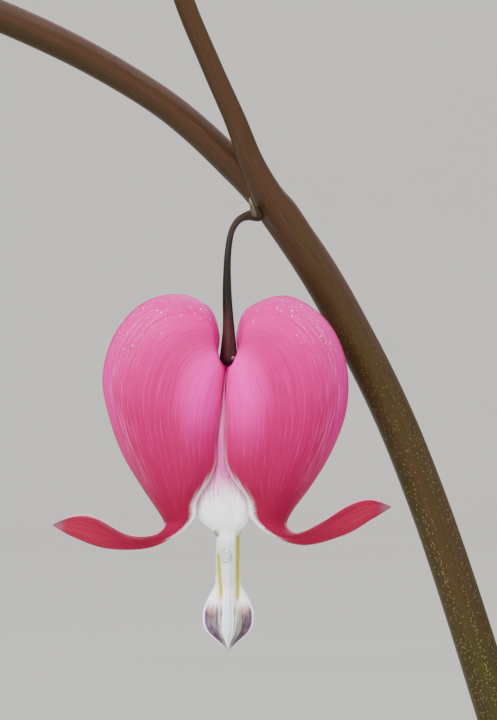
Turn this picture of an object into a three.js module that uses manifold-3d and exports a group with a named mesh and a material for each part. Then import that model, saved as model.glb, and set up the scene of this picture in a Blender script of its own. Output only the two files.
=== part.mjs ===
// Potted bleeding heart (Lamprocapnos spectabilis): a plain clay pot, soil, leafy flowering stems,
// divided leaves and hanging heart-shaped flowers. Millimetres, +Z up, origin at the middle of the
// pot's flat underside. The large flower in front, left of the middle, has every petal of its own.
import * as THREE from "three";
import Module from "manifold-3d";
import { mergeVertices } from "three/addons/utils/BufferGeometryUtils.js";
import { ParametricGeometry } from "three/addons/geometries/ParametricGeometry.js";

const wasm = await Module();
wasm.setup();

// Driving dimensions of the pot and its soil
const POT_HEIGHT = 140;
const POT_RIM_RADIUS = 80;
const POT_FOOT_RADIUS = 54;
const POT_WALL = 6.5;
const POT_FLOOR = 8;
const COLLAR_HEIGHT = 32;
const COLLAR_STEP = 3.5;
const LIP_ROUND = 2;
const DRAIN_RADIUS = 4.5;
const DRAIN_CIRCLE = 30;
const DRAIN_COUNT = 3;
const SOIL_TOP = 121;
const SOIL_CROWN = 3;
const POT_SIDES = 32;
const GAP = 0.35;
const SOCKET_GAP = 0.4;

// Driving dimensions of the flowers, one heart 22 mm wide and 32 mm long
const NOTCH = new THREE.Vector3(-78, -30, 335);
const PETAL_SHEET = 0.35;
const STALK_LENGTH = 14;
const SMALL_STALK_RADIUS = 0.45;
const HEART_SEAT = 0.5;

// Driving dimensions of the leaves
const BLADE_SHEET = 0.8;
const LEAF_DROOP = 0.16;
const LEAF_STALK_RADIUS = 1.1;
const LEAF_KNUCKLE_RADIUS = 1.4;
const PLANTING_DEPTH = 16;

// Colours with roughness: [colour, roughness]
const FINISHES = {
  clay: [0xb5643f, 0.9],
  soil: [0x3b2a20, 1.0],
  stem: [0x6b4334, 0.55],
  leaf: [0x5f8f4e, 0.65],
  outer_petal: [0xe0559a, 0.45],
  inner_petal: [0xf4eef4, 0.4],
  stamen: [0xe6c84a, 0.6],
};

const UP = new THREE.Vector3(0, 0, 1);
const vec = (x, y, z) => new THREE.Vector3(x, y, z);
const group = new THREE.Group();
group.name = "potted_bleeding_heart";

// A named piece with the colour of its finish
function addPiece(name, solid, finish) {
  const [color, roughness] = FINISHES[finish];
  const material = new THREE.MeshStandardMaterial({ color, roughness, metalness: 0 });
  const mesh = new THREE.Mesh(toGeometry(solid), material);
  mesh.name = name;
  group.add(mesh);
}

function toGeometry(solid) {
  const { vertProperties, triVerts } = solid.getMesh();
  const geometry = new THREE.BufferGeometry();
  geometry.setAttribute("position", new THREE.BufferAttribute(vertProperties, 3));
  geometry.setIndex(new THREE.BufferAttribute(triVerts, 1));
  geometry.computeVertexNormals();
  return geometry;
}

// Six times the volume inside a triangle list; it is negative when the faces point inwards
function signedVolume(points, faces) {
  const a = vec(0, 0, 0);
  const b = vec(0, 0, 0);
  const c = vec(0, 0, 0);
  let sum = 0;
  for (let i = 0; i < faces.length; i += 3) {
    a.fromArray(points, faces[i] * 3);
    b.fromArray(points, faces[i + 1] * 3);
    c.fromArray(points, faces[i + 2] * 3);
    sum += a.dot(b.cross(c));
  }
  return sum;
}

// A closed geometry as a solid: shared points are merged, the slivers at the poles dropped, and
// the faces turned to point outwards
function toSolid(geometry) {
  const bare = geometry.clone();
  bare.deleteAttribute("normal");
  bare.deleteAttribute("uv");
  const merged = mergeVertices(bare, 1e-4);
  const points = merged.getAttribute("position").array;
  const index = merged.getIndex().array;
  const faces = [];
  for (let i = 0; i < index.length; i += 3) {
    const [a, b, c] = [index[i], index[i + 1], index[i + 2]];
    if (a !== b && b !== c && c !== a) faces.push(a, b, c);
  }
  if (signedVolume(points, faces) < 0) faces.reverse();
  const mesh = new wasm.Mesh({
    numProp: 3,
    vertProperties: Float32Array.from(points),
    triVerts: Uint32Array.from(faces),
  });
  return new wasm.Manifold(mesh);
}

const joined = (solids) => solids.reduce((whole, solid) => whole.add(solid));
const mix = THREE.MathUtils.lerp;
const radians = THREE.MathUtils.degToRad;

// A value read from evenly spaced samples with straight lines between them; t runs from 0 to 1
function sampled(values, t) {
  const place = Math.min(Math.max(t, 0), 1) * (values.length - 1);
  const first = Math.min(Math.floor(place), values.length - 2);
  return mix(values[first], values[first + 1], place - first);
}

const smoothCurve = (points) => new THREE.CatmullRomCurve3(points, false, "catmullrom", 0.5);

// A tapering round stem along a curve, closed at both ends. Its sections are set out from the
// level direction across the curve's own upright plane.
function taperedTube(curve, radii, sides, steps, from = 0, to = 1, extra = 0) {
  const run = curve.getPoint(1).sub(curve.getPoint(0));
  const across = UP.clone().cross(run);
  if (across.lengthSq() < 1e-6) across.set(0, 1, 0);
  across.normalize();
  const surface = (u, v, target) => {
    const ring = THREE.MathUtils.clamp(Math.round(v * (steps + 2)) - 1, 0, steps);
    const t = mix(from, to, ring / steps);
    const onAxis = v === 0 || v === 1;
    const centre = curve.getPoint(t);
    const tangent = curve.getTangent(t);
    const side = across.clone().addScaledVector(tangent, -across.dot(tangent)).normalize();
    const other = tangent.clone().cross(side);
    const radius = onAxis ? 0 : sampled(radii, t) + extra;
    const angle = (u % 1) * Math.PI * 2;
    target.copy(centre).addScaledVector(side, radius * Math.cos(angle));
    target.addScaledVector(other, radius * Math.sin(angle));
  };
  return toSolid(new ParametricGeometry(surface, sides, steps + 2));
}

// Pot: a turned profile with a rolled collar, a flat underside and off-centre drain holes
function potSolid() {
  const underCollar = POT_HEIGHT - COLLAR_HEIGHT;
  const bodyTop = POT_RIM_RADIUS - COLLAR_STEP - 2.5;
  const profile = [
    [0, 0],
    [POT_FOOT_RADIUS - 1.5, 0],
    [POT_FOOT_RADIUS, 1.5],
    [bodyTop, underCollar],
    [POT_RIM_RADIUS - 1.5, underCollar],
    [POT_RIM_RADIUS - 0.5, underCollar + 1.5],
    [POT_RIM_RADIUS, POT_HEIGHT - LIP_ROUND],
    [POT_RIM_RADIUS - LIP_ROUND, POT_HEIGHT],
    [POT_RIM_RADIUS - POT_WALL - 1, POT_HEIGHT],
    [POT_RIM_RADIUS - POT_WALL - 3, POT_HEIGHT - LIP_ROUND],
    [innerRadius(POT_FLOOR), POT_FLOOR],
    [0, POT_FLOOR],
  ].map(([radius, height]) => new THREE.Vector2(radius, height));
  const turned = toSolid(upright(new THREE.LatheGeometry(profile, POT_SIDES)));
  const holes = [];
  for (let i = 0; i < DRAIN_COUNT; i++) {
    const angle = (i / DRAIN_COUNT) * Math.PI * 2 + Math.PI / 6;
    const hole = new THREE.CylinderGeometry(DRAIN_RADIUS, DRAIN_RADIUS, POT_FLOOR * 2, 10);
    const centre = [DRAIN_CIRCLE * Math.cos(angle), DRAIN_CIRCLE * Math.sin(angle)];
    upright(hole).translate(...centre, POT_FLOOR / 2);
    holes.push(toSolid(hole));
  }
  return turned.subtract(joined(holes));
}

// The pot's inside radius at a height: a straight taper from the lip to the floor
function innerRadius(height) {
  const lip = POT_RIM_RADIUS - POT_WALL - 3;
  const floor = POT_FOOT_RADIUS - POT_WALL;
  return mix(floor, lip, (height - POT_FLOOR) / (POT_HEIGHT - LIP_ROUND - POT_FLOOR));
}

// Turns a shape made round the y axis so that it stands round the z axis
function upright(geometry) {
  return geometry.rotateX(Math.PI / 2);
}

// The socket that a stem or leaf stalk stands in: its foot with clearance, and 1 mm deeper
function socketSolid(curve, to, radius, sides) {
  const foot = curve.getPoint(0);
  const deeper = foot.clone().addScaledVector(curve.getTangent(0), -1);
  const path = smoothCurve([deeper, foot, curve.getPoint(to / 2), curve.getPoint(to)]);
  return taperedTube(path, [radius + SOCKET_GAP, radius + SOCKET_GAP], sides, 3);
}

// Soil: fills the pot to below the lip, slightly crowned, with a socket for everything planted
function soilSolid(planted) {
  const low = POT_FLOOR + GAP;
  const profile = [
    [0, low],
    [innerRadius(low) - GAP - 0.1, low],
    [innerRadius(SOIL_TOP) - GAP - 0.1, SOIL_TOP],
    [innerRadius(SOIL_TOP) * 0.55, SOIL_TOP + SOIL_CROWN * 0.7],
    [0, SOIL_TOP + SOIL_CROWN],
  ].map(([radius, height]) => new THREE.Vector2(radius, height));
  const bed = toSolid(upright(new THREE.LatheGeometry(profile, POT_SIDES)));
  return bed.subtract(joined(planted));
}

// Outer petal: stations from the notch, over the lobe, down the side and out along the spur.
// keel is the heart's outline, front is the free edge along the slit and under the spur; both are
// [outward, up] from the notch. depth is how far the pouch bulges and wrap how far round it goes.
const LEFT_PETAL = {
  keel: [
    [0.55, -0.5], [1.3, 0.3], [1.15, 2.6], [2.2, 5.0], [4.8, 6.0], [7.9, 5.1], [10.3, 2.4], [11.4, -1.2],
    [11.0, -4.6], [9.7, -8.4], [7.9, -11.5], [6.3, -13.9], [5.85, -15.0], [6.9, -15.9], [9.2, -15.8],
    [12.1, -14.2], [14.0, -14.1], [15.8, -14.9],
  ],
  front: [
    [0.55, -0.5], [0.5, -0.9], [0.42, -1.2], [0.45, -1.8], [0.48, -2.7], [0.5, -3.8], [0.52, -5.2],
    [0.55, -6.8], [0.62, -8.4], [0.95, -10.4], [1.9, -12.3], [3.1, -14.0], [4.4, -15.4], [6.1, -16.8],
    [8.6, -17.35], [11.6, -17.0], [14.2, -16.0], [15.8, -14.9],
  ],
};
const RIGHT_PETAL = {
  keel: [
    [0.55, -0.5], [1.3, 0.3], [1.15, 2.6], [2.4, 5.0], [5.2, 5.85], [7.9, 4.6], [9.9, 2.2], [10.9, -1.2],
    [10.7, -4.9], [9.4, -8.4], [7.6, -11.4], [5.9, -13.7], [5.4, -15.0], [6.5, -15.7], [8.6, -14.6],
    [11.0, -13.05], [12.9, -12.6], [14.5, -13.2],
  ],
  front: [
    [0.55, -0.5], [0.3, -0.9], [0.1, -1.2], [0.0, -1.8], [-0.08, -2.7], [-0.12, -3.8], [-0.12, -5.2],
    [-0.1, -6.8], [-0.05, -8.4], [0.25, -10.4], [1.0, -12.3], [2.0, -14.0], [3.6, -15.4], [5.6, -16.6],
    [8.9, -16.4], [11.6, -15.4], [13.3, -14.3], [14.5, -13.2],
  ],
};
const PETAL_DEPTH = [
  0, 1.9, 3.0, 3.8, 4.3, 4.6, 4.7, 4.7, 4.5, 4.1, 3.5, 2.8, 2.2, 1.9, 1.8, 1.6, 1.1, 0,
];
const PETAL_WRAP = [
  120, 128, 134, 138, 140, 140, 140, 140, 138, 134, 128, 120, 112, 106, 102, 100, 100, 100,
];

// A ring of points that runs over a sheet's outside and back along its inside. Gives how far across
// the sheet, -1 to 1, and whether it is on the outside.
function sheetRing(a, count) {
  const index = Math.round(a * count * 2) % (count * 2);
  const outside = index < count;
  const share = (outside ? index : index - count) / (count - 1);
  return [outside ? mix(-1, 1, share) : mix(1, -1, share), outside];
}

// A point of an outer petal. u runs 0 to 1 from notch to spur tip, v from -1 at the front free
// edge through the keel at 0 to 1 at the back one; sheet is how far inside the outer face it lies.
function outerPetalPoint(side, shape, u, v, sheet) {
  const keel = [0, 1].map((axis) => sampled(shape.keel.map((point) => point[axis]), u));
  const front = [0, 1].map((axis) => sampled(shape.front.map((point) => point[axis]), u));
  const wrap = radians(sampled(PETAL_WRAP, u));
  const angle = Math.abs(v) * wrap;
  const share = (1 - Math.cos(angle)) / (1 - Math.cos(wrap));
  const inset = sheet * Math.min(1, 6 * u, 6 * (1 - u));
  const depth = (sampled(PETAL_DEPTH, u) - inset) * Math.sin(angle) * Math.sign(v);
  const middle = [mix(keel[0], front[0], 0.55), mix(keel[1], front[1], 0.55)];
  const shrink = (value, axis) => {
    const span = Math.hypot(keel[0] - middle[0], keel[1] - middle[1]) + 1e-6;
    return mix(value, middle[axis], Math.min(inset / span, 0.8));
  };
  const outward = mix(shrink(keel[0], 0), front[0], share);
  const height = mix(shrink(keel[1], 1), front[1], share);
  return vec(side * outward, depth, height);
}

// An outer petal as a thin pouch: across a section the loop runs over the outside and back inside
function outerPetalShell(side, shape, around, along) {
  const surface = (a, b, target) => {
    const [v, outside] = sheetRing(a, around);
    target.copy(outerPetalPoint(side, shape, b, v * (outside ? 1 : 0.985), outside ? 0 : PETAL_SHEET));
  };
  return toSolid(new ParametricGeometry(surface, around * 2, along));
}

// The same petal filled in, for the smaller hearts: the section closes straight across the slit
const COARSE_STATIONS = [0, 1.5, 4, 7, 10, 12, 14.5, 17].map((station) => station / 17);
function outerPetalSolid(side, shape) {
  const surface = (a, b, target) => {
    const u = sampled(COARSE_STATIONS, b);
    target.copy(outerPetalPoint(side, shape, u, mix(-1, 1, (a % 1) / 0.8), 0));
  };
  return toSolid(new ParametricGeometry(surface, 5, COARSE_STATIONS.length - 1));
}

// Inner petals: half width and half depth down from the notch: claw, skirt, neck and hooded tip
const INNER_HEIGHTS = [
  -1.5, -5, -9, -12, -13.8, -14.9, -15.8, -17.5, -20.6, -21.8, -23.4, -24.7, -26.3,
];
const INNER_WIDTHS = [0.25, 0.9, 1.5, 2.3, 2.7, 2.0, 1.15, 1.05, 1.1, 1.75, 2.27, 1.75, 0.1];
const INNER_DEPTHS = [0.8, 1.5, 1.9, 1.9, 1.8, 1.5, 1.2, 1.05, 1.05, 1.35, 1.7, 1.4, 0.15];
const INNER_EDGES = [0, 50, 60, 66, 66, 62, 56, 52, 52, 62, 72, 72, 0];
const INNER_SHEET = 0.35;

// One inner petal, in front or behind: a bent sheet whose edges stop short of the other one
function innerPetalSolid(facing, around, along) {
  const surface = (a, b, target) => {
    const [v, outside] = sheetRing(a, around);
    const angle = radians(sampled(INNER_EDGES, b)) * v;
    const inset = outside ? 0 : INNER_SHEET * Math.min(1, 8 * b, 8 * (1 - b));
    const width = sampled(INNER_WIDTHS, b) - inset;
    const depth = sampled(INNER_DEPTHS, b) - inset;
    target.set(width * Math.sin(angle), facing * depth * Math.cos(angle), sampled(INNER_HEIGHTS, b));
  };
  return toSolid(new ParametricGeometry(surface, around * 2, along));
}

// Stamens: each bundle arches down its own side, through the slot between the inner petals
function stamenSolid(side) {
  const path = [
    [0.5, -1.4], [0.6, -4], [0.75, -8], [0.85, -12], [0.92, -15.5], [0.95, -18], [0.95, -20.5],
    [0.7, -22.5],
  ].map(([outward, height]) => vec(side * outward, 0, height));
  return taperedTube(smoothCurve(path), [0.2, 0.24, 0.26, 0.26, 0.28], 5, 8);
}

// Pistil: a straight style down the middle with a small stigma at its end
function pistilSolid() {
  const path = smoothCurve([vec(0, 0, -1.25), vec(0, 0, -8), vec(0, 0, -16), vec(0, 0, -24)]);
  return taperedTube(path, [0.14, 0.3, 0.25, 0.2, 0.2, 0.32], 5, 6);
}

// The closed inner body of a smaller heart, all its inner parts as one shape
function innerBodySolid() {
  const stations = [2.6, 3.6, 6, 8, 10, 12].map((station) => station / 12);
  const surface = (a, b, target) => {
    const u = sampled(stations, b);
    const reach = b === 0 || b === 1 ? 0 : 1;
    const angle = (a % 1) * Math.PI * 2;
    const width = reach * sampled(INNER_WIDTHS, u);
    const depth = reach * sampled(INNER_DEPTHS, u);
    target.set(width * Math.sin(angle), depth * Math.cos(angle), sampled(INNER_HEIGHTS, u));
  };
  return toSolid(new ParametricGeometry(surface, 5, stations.length - 1));
}

// A stem: its points from the soil to the tip, and its radius at even steps along them
const STEMS = {
  1: {
    points: [
      [-8, 6, 98], [-12, 4, 140], [-24, -5, 205], [-39, -15, 255], [-53.8, -23, 304.1],
      [-61.2, -25, 325.9],
      [-67.7, -25.2, 339.5], [-72.9, -25, 347.7], [-77.1, -24.3, 352.5], [-85.3, -24, 359.5],
      [-98.7, -24, 366.5], [-120, -24, 374], [-146, -25, 376], [-172, -26, 370], [-196, -27, 357],
      [-217, -28, 339],
    ],
    radii: [2.7, 2.6, 2.4, 2.15, 1.9, 1.8, 1.78, 1.7, 1.45, 1.38, 1.35, 1.3, 1.2, 1.05, 0.9, 0.75],
    steps: 28,
  },
  2: {
    points: [
      [14, 2, 98], [20, 0, 145], [36, -6, 210], [58, -14, 268], [88, -24, 315], [124, -34, 338],
      [160, -42, 336], [190, -48, 316], [210, -52, 290],
    ],
    radii: [2.6, 2.5, 2.3, 2.0, 1.7, 1.4, 1.2, 1.0, 0.75],
    steps: 18,
  },
  3: {
    points: [
      [4, 18, 98], [8, 28, 150], [18, 52, 225], [34, 84, 290], [56, 118, 330], [82, 152, 342],
      [108, 182, 328], [128, 204, 300],
    ],
    radii: [2.5, 2.4, 2.1, 1.8, 1.5, 1.25, 1.0, 0.75],
    steps: 16,
  },
  4: {
    points: [
      [10, -12, 98], [14, -26, 140], [22, -50, 190], [34, -80, 228], [50, -112, 246], [68, -142, 240],
      [84, -166, 216],
    ],
    radii: [2.2, 2.0, 1.7, 1.4, 1.15, 0.9, 0.7],
    steps: 14,
  },
};
for (const stem of Object.values(STEMS)) {
  stem.curve = smoothCurve(stem.points.map((point) => vec(...point)));
}

// The side branch that forks off the first stem and passes in front of its flowering end
const BRANCH = smoothCurve(
  [
    [-71.6, -25.6, 345.6], [-75.6, -26.5, 353.2], [-77.5, -26.9, 356.8], [-79.7, -27, 362.3],
    [-82.4, -27, 369], [-86, -26, 381], [-88, -24, 394], [-87.5, -21, 405],
  ].map((point) => vec(...point)),
);
const BRANCH_RADII = [1.0, 1.0, 0.92, 0.9, 0.88, 0.85, 0.85, 0.85];

function stemSolid(key) {
  const { curve, radii, steps } = STEMS[key];
  const main = taperedTube(curve, radii, 7, steps);
  return key === "1" ? main.add(taperedTube(BRANCH, BRANCH_RADII, 6, 9)) : main;
}

// Hearts along each flowering stem: [place on the stem, size, turn in degrees]
const HEARTS = {
  1: [[0.748, 0.98, -28], [0.812, 0.95, 34], [0.872, 0.9, -30], [0.93, 0.84, 32], [0.982, 0.76, -24]],
  2: [
    [0.5, 1.0, 24], [0.588, 0.98, -32], [0.672, 0.94, 36], [0.756, 0.88, -28], [0.845, 0.82, 30],
    [0.94, 0.74, -20],
  ],
  3: [[0.6, 1.0, 70], [0.7, 0.94, 20], [0.796, 0.88, 74], [0.89, 0.8, 18]],
  4: [[0.62, 0.94, 10], [0.76, 0.86, 62], [0.9, 0.76, 4]],
};

// The places of a heart: where its stalk leaves the stem, and where its notch hangs
function heartPlaces(key, [place, size, turn]) {
  const { curve, radii } = STEMS[key];
  const tangent = curve.getTangent(place);
  const under = UP.clone().negate().addScaledVector(tangent, tangent.z).normalize();
  const reach = sampled(radii, place) + HEART_SEAT + (GAP / 2 + SMALL_STALK_RADIUS) * Math.abs(tangent.z);
  const top = curve.getPoint(place).addScaledVector(under, reach);
  const notch = top.clone().addScaledVector(UP, -STALK_LENGTH * size);
  return { top, notch, size, turn };
}

// A smaller heart with its stalk, grown together in one piece
function heartSolid(key, plan) {
  const { top, notch, size, turn } = heartPlaces(key, plan);
  const petals = outerPetalSolid(-1, LEFT_PETAL).add(outerPetalSolid(1, RIGHT_PETAL));
  const body = petals.add(innerBodySolid());
  const placed = body.scale([size, size, size]).rotate([0, 0, turn]);
  const inside = notch.clone().addScaledVector(UP, -3 * size);
  const stalk = smoothCurve([top, top.clone().lerp(notch, 0.5), inside]);
  return placed.translate(notch.toArray()).add(taperedTube(stalk, [SMALL_STALK_RADIUS, 0.4, 0.6], 4, 2));
}

// The young tip of a flowering stem: the last of the axis with closed buds hanging from it, left
// and right in turn and smaller towards the end
const BUD_LENGTHS = [10.4, 8.4, 6.4, 4.8];
const TIP_STEP = 9;
const TIP_DROOP = 0.6;
function tipSolid(key) {
  const { curve, radii } = STEMS[key];
  const run = curve.getTangent(1);
  const level = vec(run.x, run.y, 0).normalize();
  const start = curve.getPoint(1).addScaledVector(run, GAP);
  const axis = smoothCurve(
    [0, 1, 2, 3].map((i) =>
      start.clone().addScaledVector(run, i * TIP_STEP).addScaledVector(level, -i * i * TIP_DROOP),
    ),
  );
  const parts = [taperedTube(axis, [radii.at(-1), 0.6, 0.5, 0.4], 5, 3)];
  BUD_LENGTHS.forEach((length, i) => {
    const from = axis.getPoint(0.2 + i * 0.25);
    const swing = level.clone().cross(UP).multiplyScalar((i % 2 ? 1 : -1) * length * 0.28);
    const centre = from.clone().add(swing).addScaledVector(UP, -length * 0.95);
    const bend = from.clone().lerp(centre, 0.5).addScaledVector(UP, length * 0.15);
    parts.push(taperedTube(smoothCurve([from, bend, centre]), [0.4, 0.35, 0.4], 3, 2));
    const bud = upright(new THREE.SphereGeometry(0.5, 6, 4)).scale(length / 2, length / 2, length);
    parts.push(toSolid(bud.translate(centre.x, centre.y, centre.z)));
  });
  return joined(parts);
}

// One side of a leaflet, its base at the origin and its tip at [1, 0]: the side lobe and the notch
// between that and the tip's lobe
const LEAFLET_SIDE = [[0.72, 0.39], [0.62, 0.15]];
const HALF_STALK = 0.01;
const STALK_OVERLAP = 0.008;
const STALK_INSET = 0.03;
const AXIL = 0.04;

// The divisions of a leaf of size 1: their heading in degrees and stalk length, each with its
// leaflets: [heading from the division's own, length], from right to left
const DIVISIONS = [
  { heading: -62, stalk: 0.38, leaflets: [[-62, 0.34], [0, 0.46], [62, 0.3]] },
  { heading: 0, stalk: 0.6, leaflets: [[-62, 0.46], [0, 0.56], [62, 0.46]] },
  { heading: 62, stalk: 0.38, leaflets: [[-62, 0.3], [0, 0.46], [62, 0.34]] },
];

// A point that lies along and across a heading, from a starting point
function stepped([x, y], heading, along, across) {
  const turn = radians(heading);
  return [
    x + along * Math.cos(turn) - across * Math.sin(turn),
    y + along * Math.sin(turn) + across * Math.cos(turn),
  ];
}

// The outline of a whole blade, walked round from right to left: out along the right side of each
// division's stalk, round its three leaflets with an axil between each two, and back along the left
function bladeOutline() {
  const middle = [0, 0];
  const outline = [[-STALK_OVERLAP, HALF_STALK], [-STALK_OVERLAP, -HALF_STALK]];
  for (const { heading, stalk, leaflets } of DIVISIONS) {
    const end = stepped(middle, heading, stalk, 0);
    outline.push(stepped(middle, heading, STALK_INSET, -HALF_STALK));
    outline.push(stepped(middle, heading, stalk - STALK_INSET, -HALF_STALK));
    leaflets.forEach(([lean, length], i) => {
      if (i > 0) outline.push(stepped(end, heading + (lean + leaflets[i - 1][0]) / 2, AXIL, 0));
      const right = LEAFLET_SIDE.map(([x, y]) => [x, -y]);
      const left = [...LEAFLET_SIDE].reverse();
      for (const [x, y] of [...right, [1, 0], ...left]) {
        outline.push(stepped(end, heading + lean, x * length, y * length));
      }
    });
    outline.push(stepped(middle, heading, stalk - STALK_INSET, HALF_STALK));
    outline.push(stepped(middle, heading, STALK_INSET, HALF_STALK));
  }
  return outline.map(([x, y]) => new THREE.Vector2(x, y));
}

// Leaves: what carries the leaf, heading and rise of its stalk in degrees, stalk length, blade size,
// and the blade's own rise. from is [stem, place] or a point in the soil.
const LEAVES = {
  leaf_01: { from: ["branch", 1], heading: 150, rise: 52, stalk: 14, size: 62, lift: 8 },
  leaf_02: { from: ["1", 0.2], heading: 196, rise: 18, stalk: 62, size: 82, lift: -14 },
  leaf_03: { from: ["1", 0.135], heading: 140, rise: 42, stalk: 78, size: 84, lift: -4 },
  leaf_04: { from: ["1", 0.09], heading: 240, rise: 36, stalk: 66, size: 80, lift: -14 },
  leaf_05: { from: ["2", 0.36], heading: 58, rise: 40, stalk: 48, size: 78, lift: 0 },
  leaf_06: { from: ["2", 0.24], heading: -22, rise: 30, stalk: 62, size: 84, lift: -12 },
  leaf_07: { from: ["3", 0.4], heading: 112, rise: 36, stalk: 48, size: 76, lift: -4 },
  leaf_08: { from: ["3", 0.27], heading: 24, rise: 28, stalk: 64, size: 84, lift: -10 },
  leaf_09: { from: ["4", 0.34], heading: 268, rise: 16, stalk: 40, size: 70, lift: -18 },
  leaf_10: { from: ["2", 0.44], heading: -75, rise: 32, stalk: 36, size: 58, lift: -6 },
  leaf_11: { from: ["3", 0.52], heading: 188, rise: 30, stalk: 26, size: 50, lift: -2 },
  leaf_12: { from: ["soil", -14, -24], heading: 296, rise: 58, stalk: 104, size: 82, lift: -14 },
  leaf_13: { from: ["soil", -24, 14], heading: 176, rise: 64, stalk: 112, size: 84, lift: -8 },
  leaf_14: { from: ["soil", 2, 36], heading: 96, rise: 60, stalk: 104, size: 82, lift: -12 },
  leaf_15: { from: ["soil", 28, 10], heading: 8, rise: 60, stalk: 104, size: 82, lift: -12 },
  leaf_16: { from: ["soil", -4, -10], heading: 176, rise: 84, stalk: 140, size: 78, lift: 6 },
  leaf_17: { from: ["soil", 30, -20], heading: 325, rise: 50, stalk: 90, size: 78, lift: -16 },
  leaf_18: { from: ["soil", -30, -14], heading: 205, rise: 52, stalk: 88, size: 78, lift: -18 },
  leaf_19: { from: ["soil", -16, 34], heading: 130, rise: 54, stalk: 92, size: 78, lift: -16 },
  leaf_20: { from: ["soil", 26, 32], heading: 52, rise: 56, stalk: 96, size: 80, lift: -14 },
};

// A leaf's stalk and the frame of its blade: origin, forward, sideways and normal directions
function leafFrame({ from, heading, rise, stalk, lift }) {
  const level = vec(Math.cos(radians(heading)), Math.sin(radians(heading)), 0);
  const tilted = (angle) =>
    level.clone().multiplyScalar(Math.cos(radians(angle))).addScaledVector(UP, Math.sin(radians(angle)));
  const away = tilted(rise);
  const forward = tilted(lift);
  let start;
  if (from[0] === "soil") {
    start = vec(from[1], from[2], SOIL_TOP - PLANTING_DEPTH);
  } else if (from[0] === "branch") {
    start = BRANCH.getPoint(1).addScaledVector(BRANCH.getTangent(1), GAP * 3);
  } else {
    const { curve, radii } = STEMS[from[0]];
    const tangent = curve.getTangent(from[1]);
    const off = level.clone().addScaledVector(tangent, -level.dot(tangent)).normalize();
    const lean = Math.sqrt(1 - away.dot(off) ** 2);
    const reach = sampled(radii, from[1]) + LEAF_STALK_RADIUS * lean + GAP;
    start = curve.getPoint(from[1]).addScaledVector(off, reach);
  }
  const bend = start.clone().addScaledVector(away, stalk * 0.55);
  const origin = bend.clone().addScaledVector(away.clone().lerp(forward, 0.6).normalize(), stalk * 0.45);
  const sideways = UP.clone().cross(level);
  const normal = forward.clone().cross(sideways);
  return { start, bend, origin, forward, sideways, normal };
}

// A point of the blade: forward and sideways in blade sizes, height in millimetres; the blade
// bends down with the square of the distance from its middle
function bladePoint(frame, size, forward, sideways, height) {
  const drop = LEAF_DROOP * size * (forward * forward + sideways * sideways);
  return frame.origin
    .clone()
    .addScaledVector(frame.forward, size * forward)
    .addScaledVector(frame.sideways, size * sideways)
    .addScaledVector(frame.normal, height - drop);
}

const bladeShape = new THREE.Shape(bladeOutline());

// A divided leaf, grown in one piece: its stalk, which widens to a knuckle at the blade, and a blade
// of nine leaflets, cut as a flat sheet and then bent to its place
function leafSolid(plan) {
  const frame = leafFrame(plan);
  const path = smoothCurve([frame.start, frame.bend, frame.origin]);
  const blade = new THREE.ExtrudeGeometry(bladeShape, { depth: BLADE_SHEET, bevelEnabled: false });
  const places = blade.getAttribute("position");
  for (let i = 0; i < places.count; i++) {
    const height = places.getZ(i) - BLADE_SHEET / 2;
    const point = bladePoint(frame, plan.size, places.getX(i), places.getY(i), height);
    places.setXYZ(i, point.x, point.y, point.z);
  }
  const stalk = taperedTube(path, [LEAF_STALK_RADIUS, 1.0, 0.95, 0.95, LEAF_KNUCKLE_RADIUS], 7, 4);
  return toSolid(blade).add(stalk);
}

// The stalk of the large flower: from the fork, over a small bend and straight down to the notch
const FLOWER_STALK = smoothCurve(
  [
    [2.0, 4.1, 13.9], [1.1, 3.2, 12.9], [0.45, 2.2, 11.8], [0.12, 1.3, 10.6], [-0.05, 0.6, 8.6],
    [-0.08, 0.2, 6.0],
    [0.05, 0, 3.2], [0.06, 0, 0.15], [0.03, 0, -0.9],
  ].map((point) => vec(...point).add(NOTCH)),
);
const STALK_RADII = [0.42, 0.32, 0.27, 0.27, 0.33, 0.42, 0.5, 0.78, 0.2];

// The small bract beside the stalk's foot, a pointed scale
function bractSolid() {
  const base = vec(1.5, 3.1, 14.9).add(NOTCH);
  const tip = vec(0.1, 2.2, 15.6).add(NOTCH);
  const path = smoothCurve([base, base.clone().lerp(tip, 0.5).add(vec(0, 0, 0.25)), tip]);
  return taperedTube(path, [0.32, 0.4, 0.08], 5, 4);
}

const atNotch = (solid) => solid.translate(NOTCH.toArray());

function addPotAndSoil() {
  addPiece("pot", potSolid(), "clay");
  const planted = Object.values(STEMS).map(({ points, curve, radii }) =>
    socketSolid(curve, 1 / (points.length - 1), radii[0], 7),
  );
  const rooted = Object.values(LEAVES).filter(({ from }) => from[0] === "soil");
  for (const plan of rooted) {
    const { start, bend, origin } = leafFrame(plan);
    planted.push(socketSolid(smoothCurve([start, bend, origin]), 0.5, LEAF_STALK_RADIUS, 5));
  }
  addPiece("soil", soilSolid(planted), "soil");
}

function addLargeFlower() {
  addPiece("flower_stalk", taperedTube(FLOWER_STALK, STALK_RADII, 7, 16), "stem");
  addPiece("bract", bractSolid(), "stem");
  addPiece("left_outer_petal", atNotch(outerPetalShell(-1, LEFT_PETAL, 7, 17)), "outer_petal");
  addPiece("right_outer_petal", atNotch(outerPetalShell(1, RIGHT_PETAL, 7, 17)), "outer_petal");
  addPiece("front_inner_petal", atNotch(innerPetalSolid(-1, 5, 12)), "inner_petal");
  addPiece("back_inner_petal", atNotch(innerPetalSolid(1, 5, 12)), "inner_petal");
  addPiece("left_stamens", atNotch(stamenSolid(-1)), "stamen");
  addPiece("right_stamens", atNotch(stamenSolid(1)), "stamen");
  addPiece("pistil", atNotch(pistilSolid()), "stamen");
}

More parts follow.
